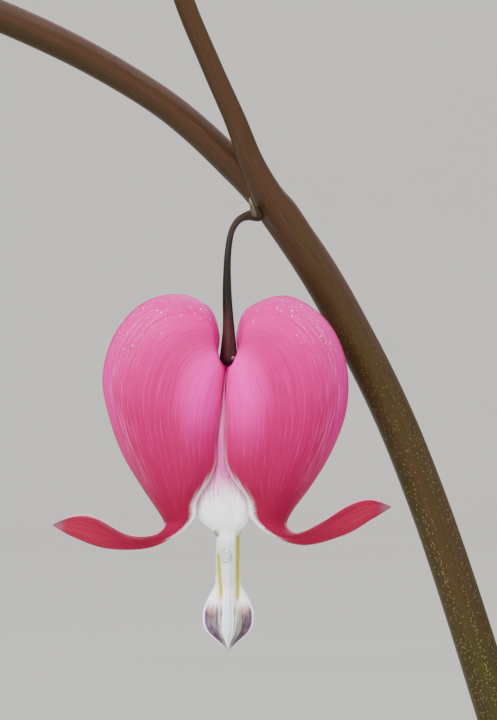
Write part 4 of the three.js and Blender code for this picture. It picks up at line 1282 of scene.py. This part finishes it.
def heart_petal_finish(tones, name):
    """Outer petal: a pink lobe that turns lilac towards a thin crimson keel, where the crimson is a
    painted glow of light through the thin edge, with fine veins from the notch, silky streaks beside
    the keel, and a mist, flecks and dots on its upper part; a painted highlight on the ridge beside
    the slit and painted shade in the hollow next to it, with painted crimson shade in the notch by
    the stalk; deep pink low down, where the free margin is pale and frays into white; and a crimson
    spur with a painted highlight along its keel, a painted pink highlight towards its end and a pale
    tip.
    """
    f = Finish(
        name,
        {
            "Specular IOR Level": 0.1,
            "Subsurface Weight": 0.12,
            "Subsurface Scale": 0.0008,
            "Subsurface Radius": (1.0, 0.2, 0.45),
        },
    )
    along, across, inside = f.stored("petal")
    half = f.size(across)
    place = f.place()
    lines = f.strands(along, across, 5, 34, 0, 0.25)
    veins = f.strands(along, across, 9, 110, 3, 0.2)
    soft = f.noise(place, 260, 3, 0.5)
    along_soft = f.sum(along, f.swing(lines, 0.14))
    body = f.ramp(
        along_soft,
        [
            (0.3, tones.petal),
            (0.46, tones.petal_deep),
            (0.62, tones.petal_crimson),
        ],
    )
    lobe = f.times(f.step(along, 0.03, 0.14), f.step(along, 0.54, 0.3))
    # painted highlight: the ridge beside the slit is lightened where light falls on it
    ridge = f.times(lobe, f.bell(half, 0.83, 0.2))
    # painted shade: the hollow next to the ridge is darkened
    hollow = f.times(lobe, f.bell(half, 0.59, 0.16))
    outer = f.times(f.step(along, 0.6, 0.42), f.step(half, 0.36, 0.1))
    low_edge = f.times(f.step(along, 0.45, 0.62), f.step(along, 0.86, 0.74), 0.65)
    edge = f.times(f.step(half, 0.97, 0.99), f.step(along, 0.16, 0.4), f.sum(0.1, low_edge))
    grit = f.noise(place, 5200, 2, 0.6)
    ragged = f.sum(half, f.swing(veins, 0.22), f.swing(soft, 0.12))
    grainy = f.sum(ragged, f.swing(grit, 0.3))
    spread = f.times(f.step(along, 0.5, 0.7), 0.13)
    frayed = f.times(f.step(f.sum(ragged, spread), 0.95, 1.14), f.band(along, 0.6, 0.72, 0.08), 0.8)
    gritty = f.times(f.step(grainy, 0.86, 0.98), f.band(along, 0.68, 0.755, 0.04))
    # painted light: a crimson glow of light through the thin keel of the lobes
    keel = f.step(half, 0.12, 0.05)
    # painted highlight: a pale line along the keel of the spurs, where light catches the fold
    rim = f.times(f.step(half, 0.27, 0.15), f.band(along, 0.72, 0.965, 0.04), f.step(lines, 0.2, 0.5))
    upper = f.times(f.band(along, 0.06, 0.34, 0.06), f.step(half, 0.52, 0.24))
    dots, (chosen, _, _) = f.dots(place, 2300)
    dotted = f.times(f.step(dots, 0.24, 0.1), f.step(chosen, 0.5, 0.95), upper)
    flecks, (_, picked, _) = f.dots(place, 4300)
    flecked = f.times(f.step(flecks, 0.36, 0.14), f.step(picked, 0.45, 0.9), upper)
    misty = f.times(upper, f.step(f.noise(place, 900, 3, 0.6), 0.48, 0.68))
    combed = f.strands(along, across, 17, 60, 7, 0.3)
    silky = f.times(
        f.band(along, 0.31, 0.56, 0.07), f.bell(half, 0.28, 0.18), f.step(combed, 0.44, 0.7), 0.27
    )
    colour = f.shaded(
        body,
        [
            (outer, 0.7, tones.petal_lilac),
            # painted shade in the hollow, then a painted highlight on the ridge
            (hollow, 0.45, tones.petal_deep),
            (ridge, f.sum(0.2, f.times(lines, 0.6)), tones.petal_light),
            (f.step(lines, 0.52, 0.68), 0.35, tones.petal_deep),
            (f.step(veins, 0.54, 0.7), f.step(along, 0.7, 0.5), 0.5, tones.petal_lilac),
            (f.step(along_soft, 0.72, 0.82), 0.8, tones.petal_spur),
            # painted shade: crimson deepening in the notch beside the stalk
            (f.step(along, 0.04, 0.0), 0.2, tones.petal_crimson),
            (silky, tones.petal_silk),
            (keel, f.step(along, 0.62, 0.5), 0.7, tones.petal_rim_glow),
            # painted highlight: lighter pink towards the ends of the spurs
            (f.step(along, 0.82, 0.95), f.step(lines, 0.3, 0.7), 0.55, tones.spur_end_highlight),
            (rim, 0.85, tones.spur_keel_highlight),
            (frayed, tones.hood_white),
            (gritty, 0.7, tones.hood_white),
            (edge, tones.petal_pale),
            (f.step(along, 0.955, 0.99), 0.85, tones.petal_tip),
            (misty, 0.24, tones.petal_lilac),
            (flecked, 0.34, tones.petal_pale),
            (dotted, 0.66, tones.hood_white),
            (inside, 0.35, tones.petal_light),
        ],
    )
    relief = f.sum(f.times(lines, 0.8), f.times(veins, 0.5), f.times(soft, 0.4), f.times(dotted, 0.3))
    rough = f.sum(0.42, f.times(soft, 0.16), f.times(lines, 0.08))
    return f.done(colour, relief, 0.00012, Roughness=rough)


def hood_petal_finish(tones, name):
    """Inner petal: white skirt with pink veins, pearl neck with yellow stripes and a yellow haze,
    and a hooded tip of clear grey with purple rays and blotches, coral tops, a violet line inside
    its white rims, a pale bluish crest and a beige point.
    """
    f = Finish(
        name,
        {
            "Specular IOR Level": 0.16,
            "Coat Weight": 0.06,
            "Coat Roughness": 0.2,
            "Subsurface Weight": 0.12,
            "Subsurface Scale": 0.0008,
            "Subsurface Radius": (1.0, 0.5, 0.6),
        },
    )
    depth, across, _ = f.stored("petal")
    half = f.size(across)
    place = f.place()
    veins = f.strands(depth, across, 9, 13, 0, 0.3)
    streaks = f.strands(depth, across, 10, 14, 4, 0.3)
    clouds = f.noise(place, 900, 3, 0.6)
    skirt = f.step(depth, 0.58, 0.54)
    x = f.stored("reach")[0]
    beside = f.size(x)
    hood = f.band(depth, 0.865, 0.97, 0.05)
    uneven = f.sum(half, f.swing(clouds, 0.16), f.swing(streaks, 0.22))
    grey = f.times(hood, f.step(uneven, 0.1, 0.3))
    rays = f.times(hood, f.step(half, 0.12, 0.2), f.step(streaks, 0.45, 0.62), 0.75)
    mottled = f.sum(0.7, f.times(f.step(clouds, 0.35, 0.6), 0.3))
    blotch = f.times(f.band(depth, 0.87, 0.95, 0.035), f.step(uneven, 0.22, 0.56), mottled)
    coral = f.times(f.bell(depth, 0.85, 0.03), f.bell(beside, 1.45, 0.6), f.step(clouds, 0.2, 0.6))
    haze = f.times(f.bell(depth, 0.81, 0.05), f.bell(beside, 0.75, 0.45), 0.6)
    right_stripe = f.times(f.bell(x, 0.86, 0.29), f.band(depth, 0.605, 0.795, 0.04))
    slanted = f.sum(x, f.times(depth, -2.07), 2.275)
    left_stripe = f.times(f.bell(slanted, 0.0, 0.27), f.band(depth, 0.69, 0.775, 0.06))
    stripes = f.sum(right_stripe, left_stripe)
    colour = f.shaded(
        tones.hood_white,
        [
            (f.step(depth, 0.59, 0.63), f.step(depth, 0.8, 0.76), 0.85, tones.hood_pearl),
            (
                skirt, f.step(veins, 0.48, 0.6), f.step(depth, 0.54, 0.43), f.step(half, 0.97, 0.8),
                0.8, tones.petal_light,
            ),
            (f.step(depth, 0.5, 0.36), 0.9, tones.hood_lilac),
            (f.step(depth, 0.6, 0.64), f.step(half, 0.84, 0.92), 0.9, tones.hood_white),
            (f.step(stripes, 0.0, 0.7), 0.95, tones.hood_yellow),
            (haze, tones.hood_yellow),
            (grey, 0.8, tones.hood_grey),
            (rays, tones.hood_purple),
            (blotch, 0.92, tones.hood_purple),
            (coral, 0.9, tones.hood_coral),
            (f.band(depth, 0.87, 0.96, 0.02), f.bell(half, 0.855, 0.08), 0.9, tones.hood_violet),
            (f.step(depth, 0.72, 0.84), f.step(half, 0.14, 0.1), 0.9, tones.hood_crest),
            (f.step(depth, 0.76, 0.82), f.step(half, 0.87, 0.91), tones.hood_white),
            (f.step(depth, 0.985, 0.997), tones.hood_knob),
        ],
    )
    relief = f.sum(f.times(veins, 0.6), f.times(streaks, 0.5), f.times(clouds, 0.3))
    rough = f.sum(0.26, f.times(clouds, 0.16))
    return f.done(colour, relief, 0.0001, Roughness=rough)


def bud_finish(tones, name):
    """Bud: pink body with fine lengthwise veins, greenish at the stalk and whitish at the tip."""
    f = Finish(name, {"Specular IOR Level": 0.4, "Subsurface Weight": 0.2, "Subsurface Scale": 0.001})
    along, across, _ = f.stored("petal")
    place = f.place()
    veins = f.strands(along, across, 4, 18, 0)
    soft = f.noise(place, 700, 3, 0.5)
    body = f.ramp(
        f.sum(along, f.swing(veins, 0.12)),
        [
            (0.02, tones.leaf),
            (0.12, tones.petal_light),
            (0.5, tones.petal),
            (0.74, tones.petal_deep),
            (0.88, tones.petal_pale),
        ],
    )
    colour = f.shaded(
        body,
        [
            (f.step(veins, 0.54, 0.7), 0.35, tones.petal_deep),
            (f.step(soft, 0.6, 0.75), 0.3, tones.petal_pale),
        ],
    )
    rough = f.sum(0.36, f.times(soft, 0.2))
    return f.done(colour, f.sum(veins, soft), 0.0001, Roughness=rough)


def stamen_finish(name, low, high):
    """Filaments: fine lengthwise streaks between two tones."""
    f = Finish(name, {"Specular IOR Level": 0.4})
    streaks = f.fibres(5000, 300)
    colour = f.mix(f.step(streaks, 0.3, 0.7), low, high)
    rough = f.sum(0.4, f.times(streaks, 0.2))
    return f.done(colour, streaks, 0.00005, Roughness=rough)


def dew_finish(tones, name):
    """Clear water, with painted highlights: where the sky's white glints fall, at its top and in a
    crescent below, the water is made opaque and white.
    """
    f = Finish(name, {"Roughness": 0.02, "IOR": 1.33})
    x, _, height = f.stored("reach")
    dust = f.noise(f.place(), 3000, 2, 0.5)
    # painted highlights: the glint at the top and the crescent below turn the clear water opaque white
    glint = f.times(f.bell(height, 0.66, 0.2), f.bell(x, 0.1, 0.3))
    crescent = f.times(f.bell(f.sum(height, f.times(x, x, -0.5)), -0.68, 0.2), f.bell(x, -0.1, 0.75))
    white = f.step(f.sum(glint, crescent, f.times(dust, 0.1)), 0.3, 0.6)
    clear = f.sum(0.85, f.times(white, -0.85))
    colour = f.mix(dust, tones.hood_white, tones.dew)
    return f.done(colour, dust, 0.00001, Transmission_Weight=clear)


def floor_finish(tones, name):
    """Matt pale paper with a slow drift of tone."""
    f = Finish(name, {"Specular IOR Level": 0.1, "Roughness": 0.9})
    place = f.place()
    drift = f.noise(place, 1.4, 3, 0.5)
    shade = tuple(0.975 * part for part in tones.floor)
    colour = f.mix(f.step(drift, 0.3, 0.7), tuple(tones.floor), shade)
    return f.done(colour, f.noise(place, 900, 3, 0.6), 0.00005)


FINISHES = {
    "terracotta": clay_finish,
    "compost": soil_finish,
    "stem skin": stem_finish,
    "flower stalk": lambda tones, name: stalk_finish(tones, name, tones.stalk_dark, tones.stalk_red),
    "leaf stalk": lambda tones, name: stalk_finish(tones, name, tones.stem_brown, tones.stem_olive),
    "bract": lambda tones, name: stalk_finish(tones, name, tones.bract_foot, tones.bract),
    "leaf blade": leaf_finish,
    "outer petal": heart_petal_finish,
    "inner petal": hood_petal_finish,
    "bud skin": bud_finish,
    "filament": lambda tones, name: stamen_finish(name, tones.hood_yellow, tones.hood_white),
    "knob": lambda tones, name: stamen_finish(name, tones.hood_knob, tones.hood_grey),
    "dew": dew_finish,
    "pale paper": floor_finish,
}


def finishes(context, *names):
    """The materials of those names, each made the first time that it is asked for."""
    tones = context.scene.bleeding_heart_tones
    return [bpy.data.materials.get(name) or FINISHES[name](tones, name) for name in names]


# Settings that the sidebar shows


def colour_property(name, default):
    """A colour setting with its name, its default and what it is the colour of."""
    return FloatVectorProperty(
        name=name, description=f"Colour of the {name.lower()}", default=default, size=3, min=0, max=1,
        subtype="COLOR",
    )


class BleedingHeartTones(bpy.types.PropertyGroup):
    """The colours of every finish."""

    clay: colour_property("Clay", (0.36, 0.12, 0.055))
    clay_dark: colour_property("Dark clay", (0.21, 0.062, 0.03))
    clay_light: colour_property("Rubbed clay", (0.5, 0.22, 0.12))
    clay_bloom: colour_property("Lime bloom on the clay", (0.6, 0.45, 0.34))
    soil: colour_property("Soil", (0.036, 0.021, 0.013))
    soil_dark: colour_property("Damp soil", (0.011, 0.007, 0.005))
    soil_light: colour_property("Dry crumbs", (0.11, 0.065, 0.036))
    soil_grit: colour_property("Pale grit", (0.32, 0.29, 0.25))
    stem_brown: colour_property("Upper stems", (0.042, 0.019, 0.0085))
    stem_olive: colour_property("Lower stems", (0.032, 0.028, 0.0055))
    stem_maroon: colour_property("Shaded side of the stems", (0.027, 0.0145, 0.0055))
    # also paints the highlight on the upward side of stems and stalks, besides their fine mauve streaks
    stem_mauve_and_highlight: colour_property("Bloom on the stems", (0.07, 0.041, 0.034))
    stem_speck: colour_property("Specks on the stems", (0.16, 0.155, 0.045))
    stalk_dark: colour_property("Flower stalks", (0.009, 0.007, 0.0052))
    stalk_red: colour_property("Foot of the flower stalks", (0.07, 0.023, 0.027))
    bract: colour_property("Dry bract", (0.13, 0.115, 0.07))
    bract_foot: colour_property("Foot of the dry bract", (0.08, 0.066, 0.042))
    leaf: colour_property("Leaves", (0.055, 0.145, 0.022))
    leaf_deep: colour_property("Older leaves", (0.028, 0.088, 0.014))
    leaf_light: colour_property("Leaf veins", (0.14, 0.24, 0.065))
    leaf_under: colour_property("Leaf undersides", (0.13, 0.2, 0.11))
    petal: colour_property("Outer petals", (0.56, 0.0, 0.2))
    petal_light: colour_property("Lit ridge of the petals", (0.95, 0.01, 0.52))
    petal_deep: colour_property("Deep pink of the petals", (0.34, 0.0, 0.082))
    petal_crimson: colour_property("Spurs", (0.235, 0.002, 0.036))
    petal_spur: colour_property("Upturned ends of the petals", (0.17, 0.002, 0.022))
    # painted highlight towards the ends of the spurs
    spur_end_highlight: colour_property("Flush on the upturned ends", (0.4, 0.022, 0.06))
    petal_tip: colour_property("Tips of the petals", (0.2, 0.1, 0.14))
    # painted glow of light through the thin keel of the lobes
    petal_rim_glow: colour_property("Rim of the lobes", (0.4, 0.0, 0.06))
    petal_pale: colour_property("Petal margins", (0.8, 0.5, 0.66))
    # painted highlight along the keel of the spurs
    spur_keel_highlight: colour_property("Upper edge of the upturned ends", (0.95, 0.36, 0.6))
    petal_silk: colour_property("Silky streaks near the outline of the petals", (0.9, 0.22, 0.58))
    petal_lilac: colour_property("Outer zone of the petals", (0.58, 0.012, 0.27))
    hood_white: colour_property("Inner petals", (0.95, 0.93, 0.97))
    hood_pearl: colour_property("Neck", (0.52, 0.58, 0.52))
    hood_lilac: colour_property("Strip in the slit", (0.5, 0.02, 0.25))
    hood_yellow: colour_property("Neck sides", (0.37, 0.33, 0.002))
    hood_coral: colour_property("Hood tops", (0.62, 0.28, 0.2))
    hood_purple: colour_property("Hood blotches", (0.055, 0.018, 0.048))
    hood_grey: colour_property("Clear part of the hoods", (0.17, 0.165, 0.15))
    hood_violet: colour_property("Line inside the hood's rim", (0.2, 0.06, 0.3))
    hood_crest: colour_property("Hood crest", (0.55, 0.68, 0.8))
    hood_knob: colour_property("Knobs beside the neck", (0.62, 0.55, 0.39))
    dew: colour_property("Dew", (0.9, 0.95, 1.0))
    floor: colour_property("Floor", (0.88, 0.87, 0.85))


class BleedingHeartSizes(bpy.types.PropertyGroup):
    """Sizes and amounts of the soil and the studio."""

    crumb_count: IntProperty(
        name="Crumbs", description="Small crumbs on the soil", default=1900, min=0, max=4000
    )
    crumb_size: FloatProperty(
        name="Crumb size", description="Width of the largest small crumb", default=0.0028,
        min=0.001, max=0.006, unit="LENGTH", subtype="DISTANCE",
    )
    floor_radius: FloatProperty(
        name="Floor radius", description="Radius of the flat part of the floor", default=9.5,
        min=2, max=20, unit="LENGTH", subtype="DISTANCE",
    )
    key_power: FloatProperty(
        name="Key light", description="Power of the main light", default=85, min=0, unit="POWER"
    )
    fill_power: FloatProperty(
        name="Fill light", description="Power of the light on the right", default=15, min=0,
        unit="POWER",
    )
    back_power: FloatProperty(
        name="Back light", description="Power of the light behind", default=25, min=0, unit="POWER"
    )
    sky: FloatProperty(
        name="Sky", description="Strength of the even light from all round", default=1.0, min=0
    )


# The steps that make the plant


class BLEEDINGHEART_OT_pot(bpy.types.Operator):
    """Make the clay pot with its drain holes"""

    bl_idname = "bleedingheart.pot"
    bl_label = "Clay Pot"

    def execute(self, context):
        clay = finishes(context, "terracotta")
        make_piece("clay_pot", [pot_shape()], clay, ["pot"], cut_drain_holes)
        return {"FINISHED"}


class BLEEDINGHEART_OT_soil(bpy.types.Operator):
    """Make the soil and its crumbs"""

    bl_idname = "bleedingheart.soil"
    bl_label = "Soil"

    def execute(self, context):
        sizes = context.scene.bleeding_heart_sizes
        shapes = soil_shapes(sizes.crumb_count, sizes.crumb_size / MM)
        make_piece("compost", shapes, finishes(context, "compost"), ["soil"])
        return {"FINISHED"}


class BLEEDINGHEART_OT_stems(bpy.types.Operator):
    """Make the four arching stems"""

    bl_idname = "bleedingheart.stems"
    bl_label = "Stems"

    def execute(self, context):
        skin = finishes(context, "stem skin")
        for key in STEMS:
            make_piece(f"arching_stem_{key}", stem_shapes(key), skin, [f"stem_{key}"])
        return {"FINISHED"}


class BLEEDINGHEART_OT_leaves(bpy.types.Operator):
    """Make the leaves on their stalks"""

    bl_idname = "bleedingheart.leaves"
    bl_label = "Leaves"

    def execute(self, context):
        skins = finishes(context, "leaf blade", "leaf stalk")
        for name, plan in LEAVES.items():
            make_piece(f"divided_{name}", leaf_shapes(name, plan), skins, [name])
        return {"FINISHED"}


class BLEEDINGHEART_OT_hearts(bpy.types.Operator):
    """Make the smaller hearts that hang from the stems"""

    bl_idname = "bleedingheart.hearts"
    bl_label = "Smaller Hearts"

    def execute(self, context):
        skins = finishes(context, "outer petal", "inner petal", "flower stalk")
        for key, rows in HEARTS.items():
            for number, (place, size, turn) in enumerate(rows, 1):
                shapes = heart_shapes(key, place, size, turn, int(key) * 10 + number)
                node = f"heart_{key}_{number}"
                make_piece(f"small_{node}", shapes, skins, [node])
        return {"FINISHED"}


class BLEEDINGHEART_OT_buds(bpy.types.Operator):
    """Make the young ends of the stems with their buds"""

    bl_idname = "bleedingheart.buds"
    bl_label = "Buds"

    def execute(self, context):
        skins = finishes(context, "bud skin", "flower stalk")
        for key in STEMS:
            make_piece(f"young_tip_{key}", tip_shapes(key), skins, [f"buds_{key}"])
        return {"FINISHED"}


class BLEEDINGHEART_OT_blossom(bpy.types.Operator):
    """Make the large flower: stalk, bract, petals, stamens and style"""

    bl_idname = "bleedingheart.blossom"
    bl_label = "Large Flower"

    def execute(self, context):
        for side in PETALS:
            make_piece(
                f"blossom_{side}_lobe", [blossom_petal(side)], finishes(context, "outer petal"),
                [f"{side}_outer_petal"],
            )
        for name, facing in (("front", -1), ("back", 1)):
            make_piece(
                f"blossom_{name}_hood", hood_shapes(facing), finishes(context, "inner petal", "dew"),
                [f"{name}_inner_petal"],
            )
        for name, side in (("left", -1), ("right", 1)):
            make_piece(
                f"blossom_{name}_filaments", stamen_shapes(side), finishes(context, "filament", "knob"),
                [f"{name}_stamens"],
            )
        make_piece("blossom_style", [style_shape()], finishes(context, "filament"), ["pistil"])
        make_piece(
            "blossom_stalk", [flower_stalk_shape(), dew_shape(*FOOT_DEW, finish=1)],
            finishes(context, "flower stalk", "dew"),
            ["flower_stalk"],
        )
        make_piece("blossom_bract", [bract_shape()], finishes(context, "bract"), ["bract"])
        return {"FINISHED"}


def studio_shape(radius):
    """A wide floor that curves up into a wall all round: a turned profile, closed in the middle
    and open at the top, in metres.
    """
    bend = np.linspace(0, PI / 2, 14)
    corner = np.stack([radius + WALL_BEND * np.sin(bend), WALL_BEND * (1 - np.cos(bend))], axis=-1)
    flat = np.linspace(0.02, radius, 30)
    top = [(radius + WALL_BEND, WALL_HEIGHT)]
    line = np.concatenate([np.stack([flat, 0 * flat], axis=-1), corner[1:], top])
    angle = full_turn(128)
    x, y = line[:, :1] * np.cos(angle), line[:, :1] * np.sin(angle)
    points = np.stack([x, y, np.broadcast_to(line[:, 1:] - FLOOR_GAP, x.shape)], axis=-1)
    index = np.arange(x.size).reshape(x.shape)
    after = np.roll(index, -1, axis=1)
    return {
        "points": np.concatenate([points.reshape(-1, 3), [[0, 0, -FLOOR_GAP]]]),
        "quads": np.stack([index[:-1], index[1:], after[1:], after[:-1]], axis=-1).reshape(-1, 4),
        "tris": np.stack([np.full(x.shape[1], x.size), index[0], after[0]], axis=-1),
        "values": {},
        "finish": 0,
    }


def soft_light(name, place, width, power):
    """A square light that faces the large flower and is not seen itself."""
    lamp = bpy.data.lights.new(name, "AREA")
    lamp.size, lamp.energy = width, power
    light = bpy.data.objects.new(name, lamp)
    light.location = place
    aim = Vector(NOTCH * MM) - Vector(place)
    light.rotation_euler = aim.to_track_quat("-Z", "Y").to_euler()
    light.visible_camera = False
    bpy.context.scene.collection.objects.link(light)


class BLEEDINGHEART_OT_stage(bpy.types.Operator):
    """Make the pale floor, the soft lights and the camera"""

    bl_idname = "bleedingheart.stage"
    bl_label = "Floor, Lights and Camera"

    def execute(self, context):
        scene, sizes = context.scene, context.scene.bleeding_heart_sizes
        floor = studio_shape(sizes.floor_radius)
        mesh_object("pale_floor", [floor], finishes(context, "pale paper"))
        scene.world = bpy.data.worlds.new("soft sky")
        scene.world.use_nodes = True
        sky = scene.world.node_tree.nodes["Background"]
        sky.inputs["Color"].default_value = (1, 0.99, 0.97, 1)
        sky.inputs["Strength"].default_value = sizes.sky
        for name, (place, width) in LIGHTS.items():
            soft_light(f"{name}_light", place, width, getattr(sizes, f"{name}_power"))
        lens = bpy.data.cameras.new("photo_view")
        lens.lens, lens.sensor_width = CAMERA_LENS, CAMERA_SENSOR
        lens.clip_start, lens.clip_end = 0.01, 100
        camera = bpy.data.objects.new("photo_view", lens)
        camera.location = CAMERA_PLACE
        camera.rotation_euler = (PI / 2, 0, 0)
        scene.collection.objects.link(camera)
        scene.camera = camera
        return {"FINISHED"}


class BLEEDINGHEART_PT_panel(bpy.types.Panel):
    """Colours, sizes and the steps that make the plant"""

    bl_idname = "BLEEDINGHEART_PT_panel"
    bl_label = "Bleeding Heart"
    bl_space_type = "VIEW_3D"
    bl_region_type = "UI"
    bl_category = "Bleeding Heart"

    def draw(self, context):
        steps, colours, sizes = (self.layout.column(align=True) for _ in range(3))
        for step in STEPS:
            steps.operator(step.bl_idname)
        for owner, column in (
            (context.scene.bleeding_heart_tones, colours), (context.scene.bleeding_heart_sizes, sizes)
        ):
            for key in owner.__annotations__:
                column.prop(owner, key)


STEPS = (
    BLEEDINGHEART_OT_pot,
    BLEEDINGHEART_OT_soil,
    BLEEDINGHEART_OT_stems,
    BLEEDINGHEART_OT_leaves,
    BLEEDINGHEART_OT_hearts,
    BLEEDINGHEART_OT_buds,
    BLEEDINGHEART_OT_blossom,
    BLEEDINGHEART_OT_stage,
)
GROUPS = {"bleeding_heart_tones": BleedingHeartTones, "bleeding_heart_sizes": BleedingHeartSizes}


def register():
    """Adds the settings, the operators and the panel to Blender."""
    for name, group in GROUPS.items():
        bpy.utils.register_class(group)
        setattr(bpy.types.Scene, name, PointerProperty(type=group))
    for step in (*STEPS, BLEEDINGHEART_PT_panel):
        bpy.utils.register_class(step)


def unregister():
    """Takes them out again."""
    for step in reversed((*STEPS, BLEEDINGHEART_PT_panel)):
        bpy.utils.unregister_class(step)
    for name, group in GROUPS.items():
        delattr(bpy.types.Scene, name)
        bpy.utils.unregister_class(group)


def main():
    """Makes the whole scene."""
    register()
    bpy.ops.bleedingheart.pot()
    bpy.ops.bleedingheart.soil()
    bpy.ops.bleedingheart.stems()
    bpy.ops.bleedingheart.leaves()
    bpy.ops.bleedingheart.hearts()
    bpy.ops.bleedingheart.buds()
    bpy.ops.bleedingheart.blossom()
    bpy.ops.bleedingheart.stage()


if __name__ == "__main__":
    main()
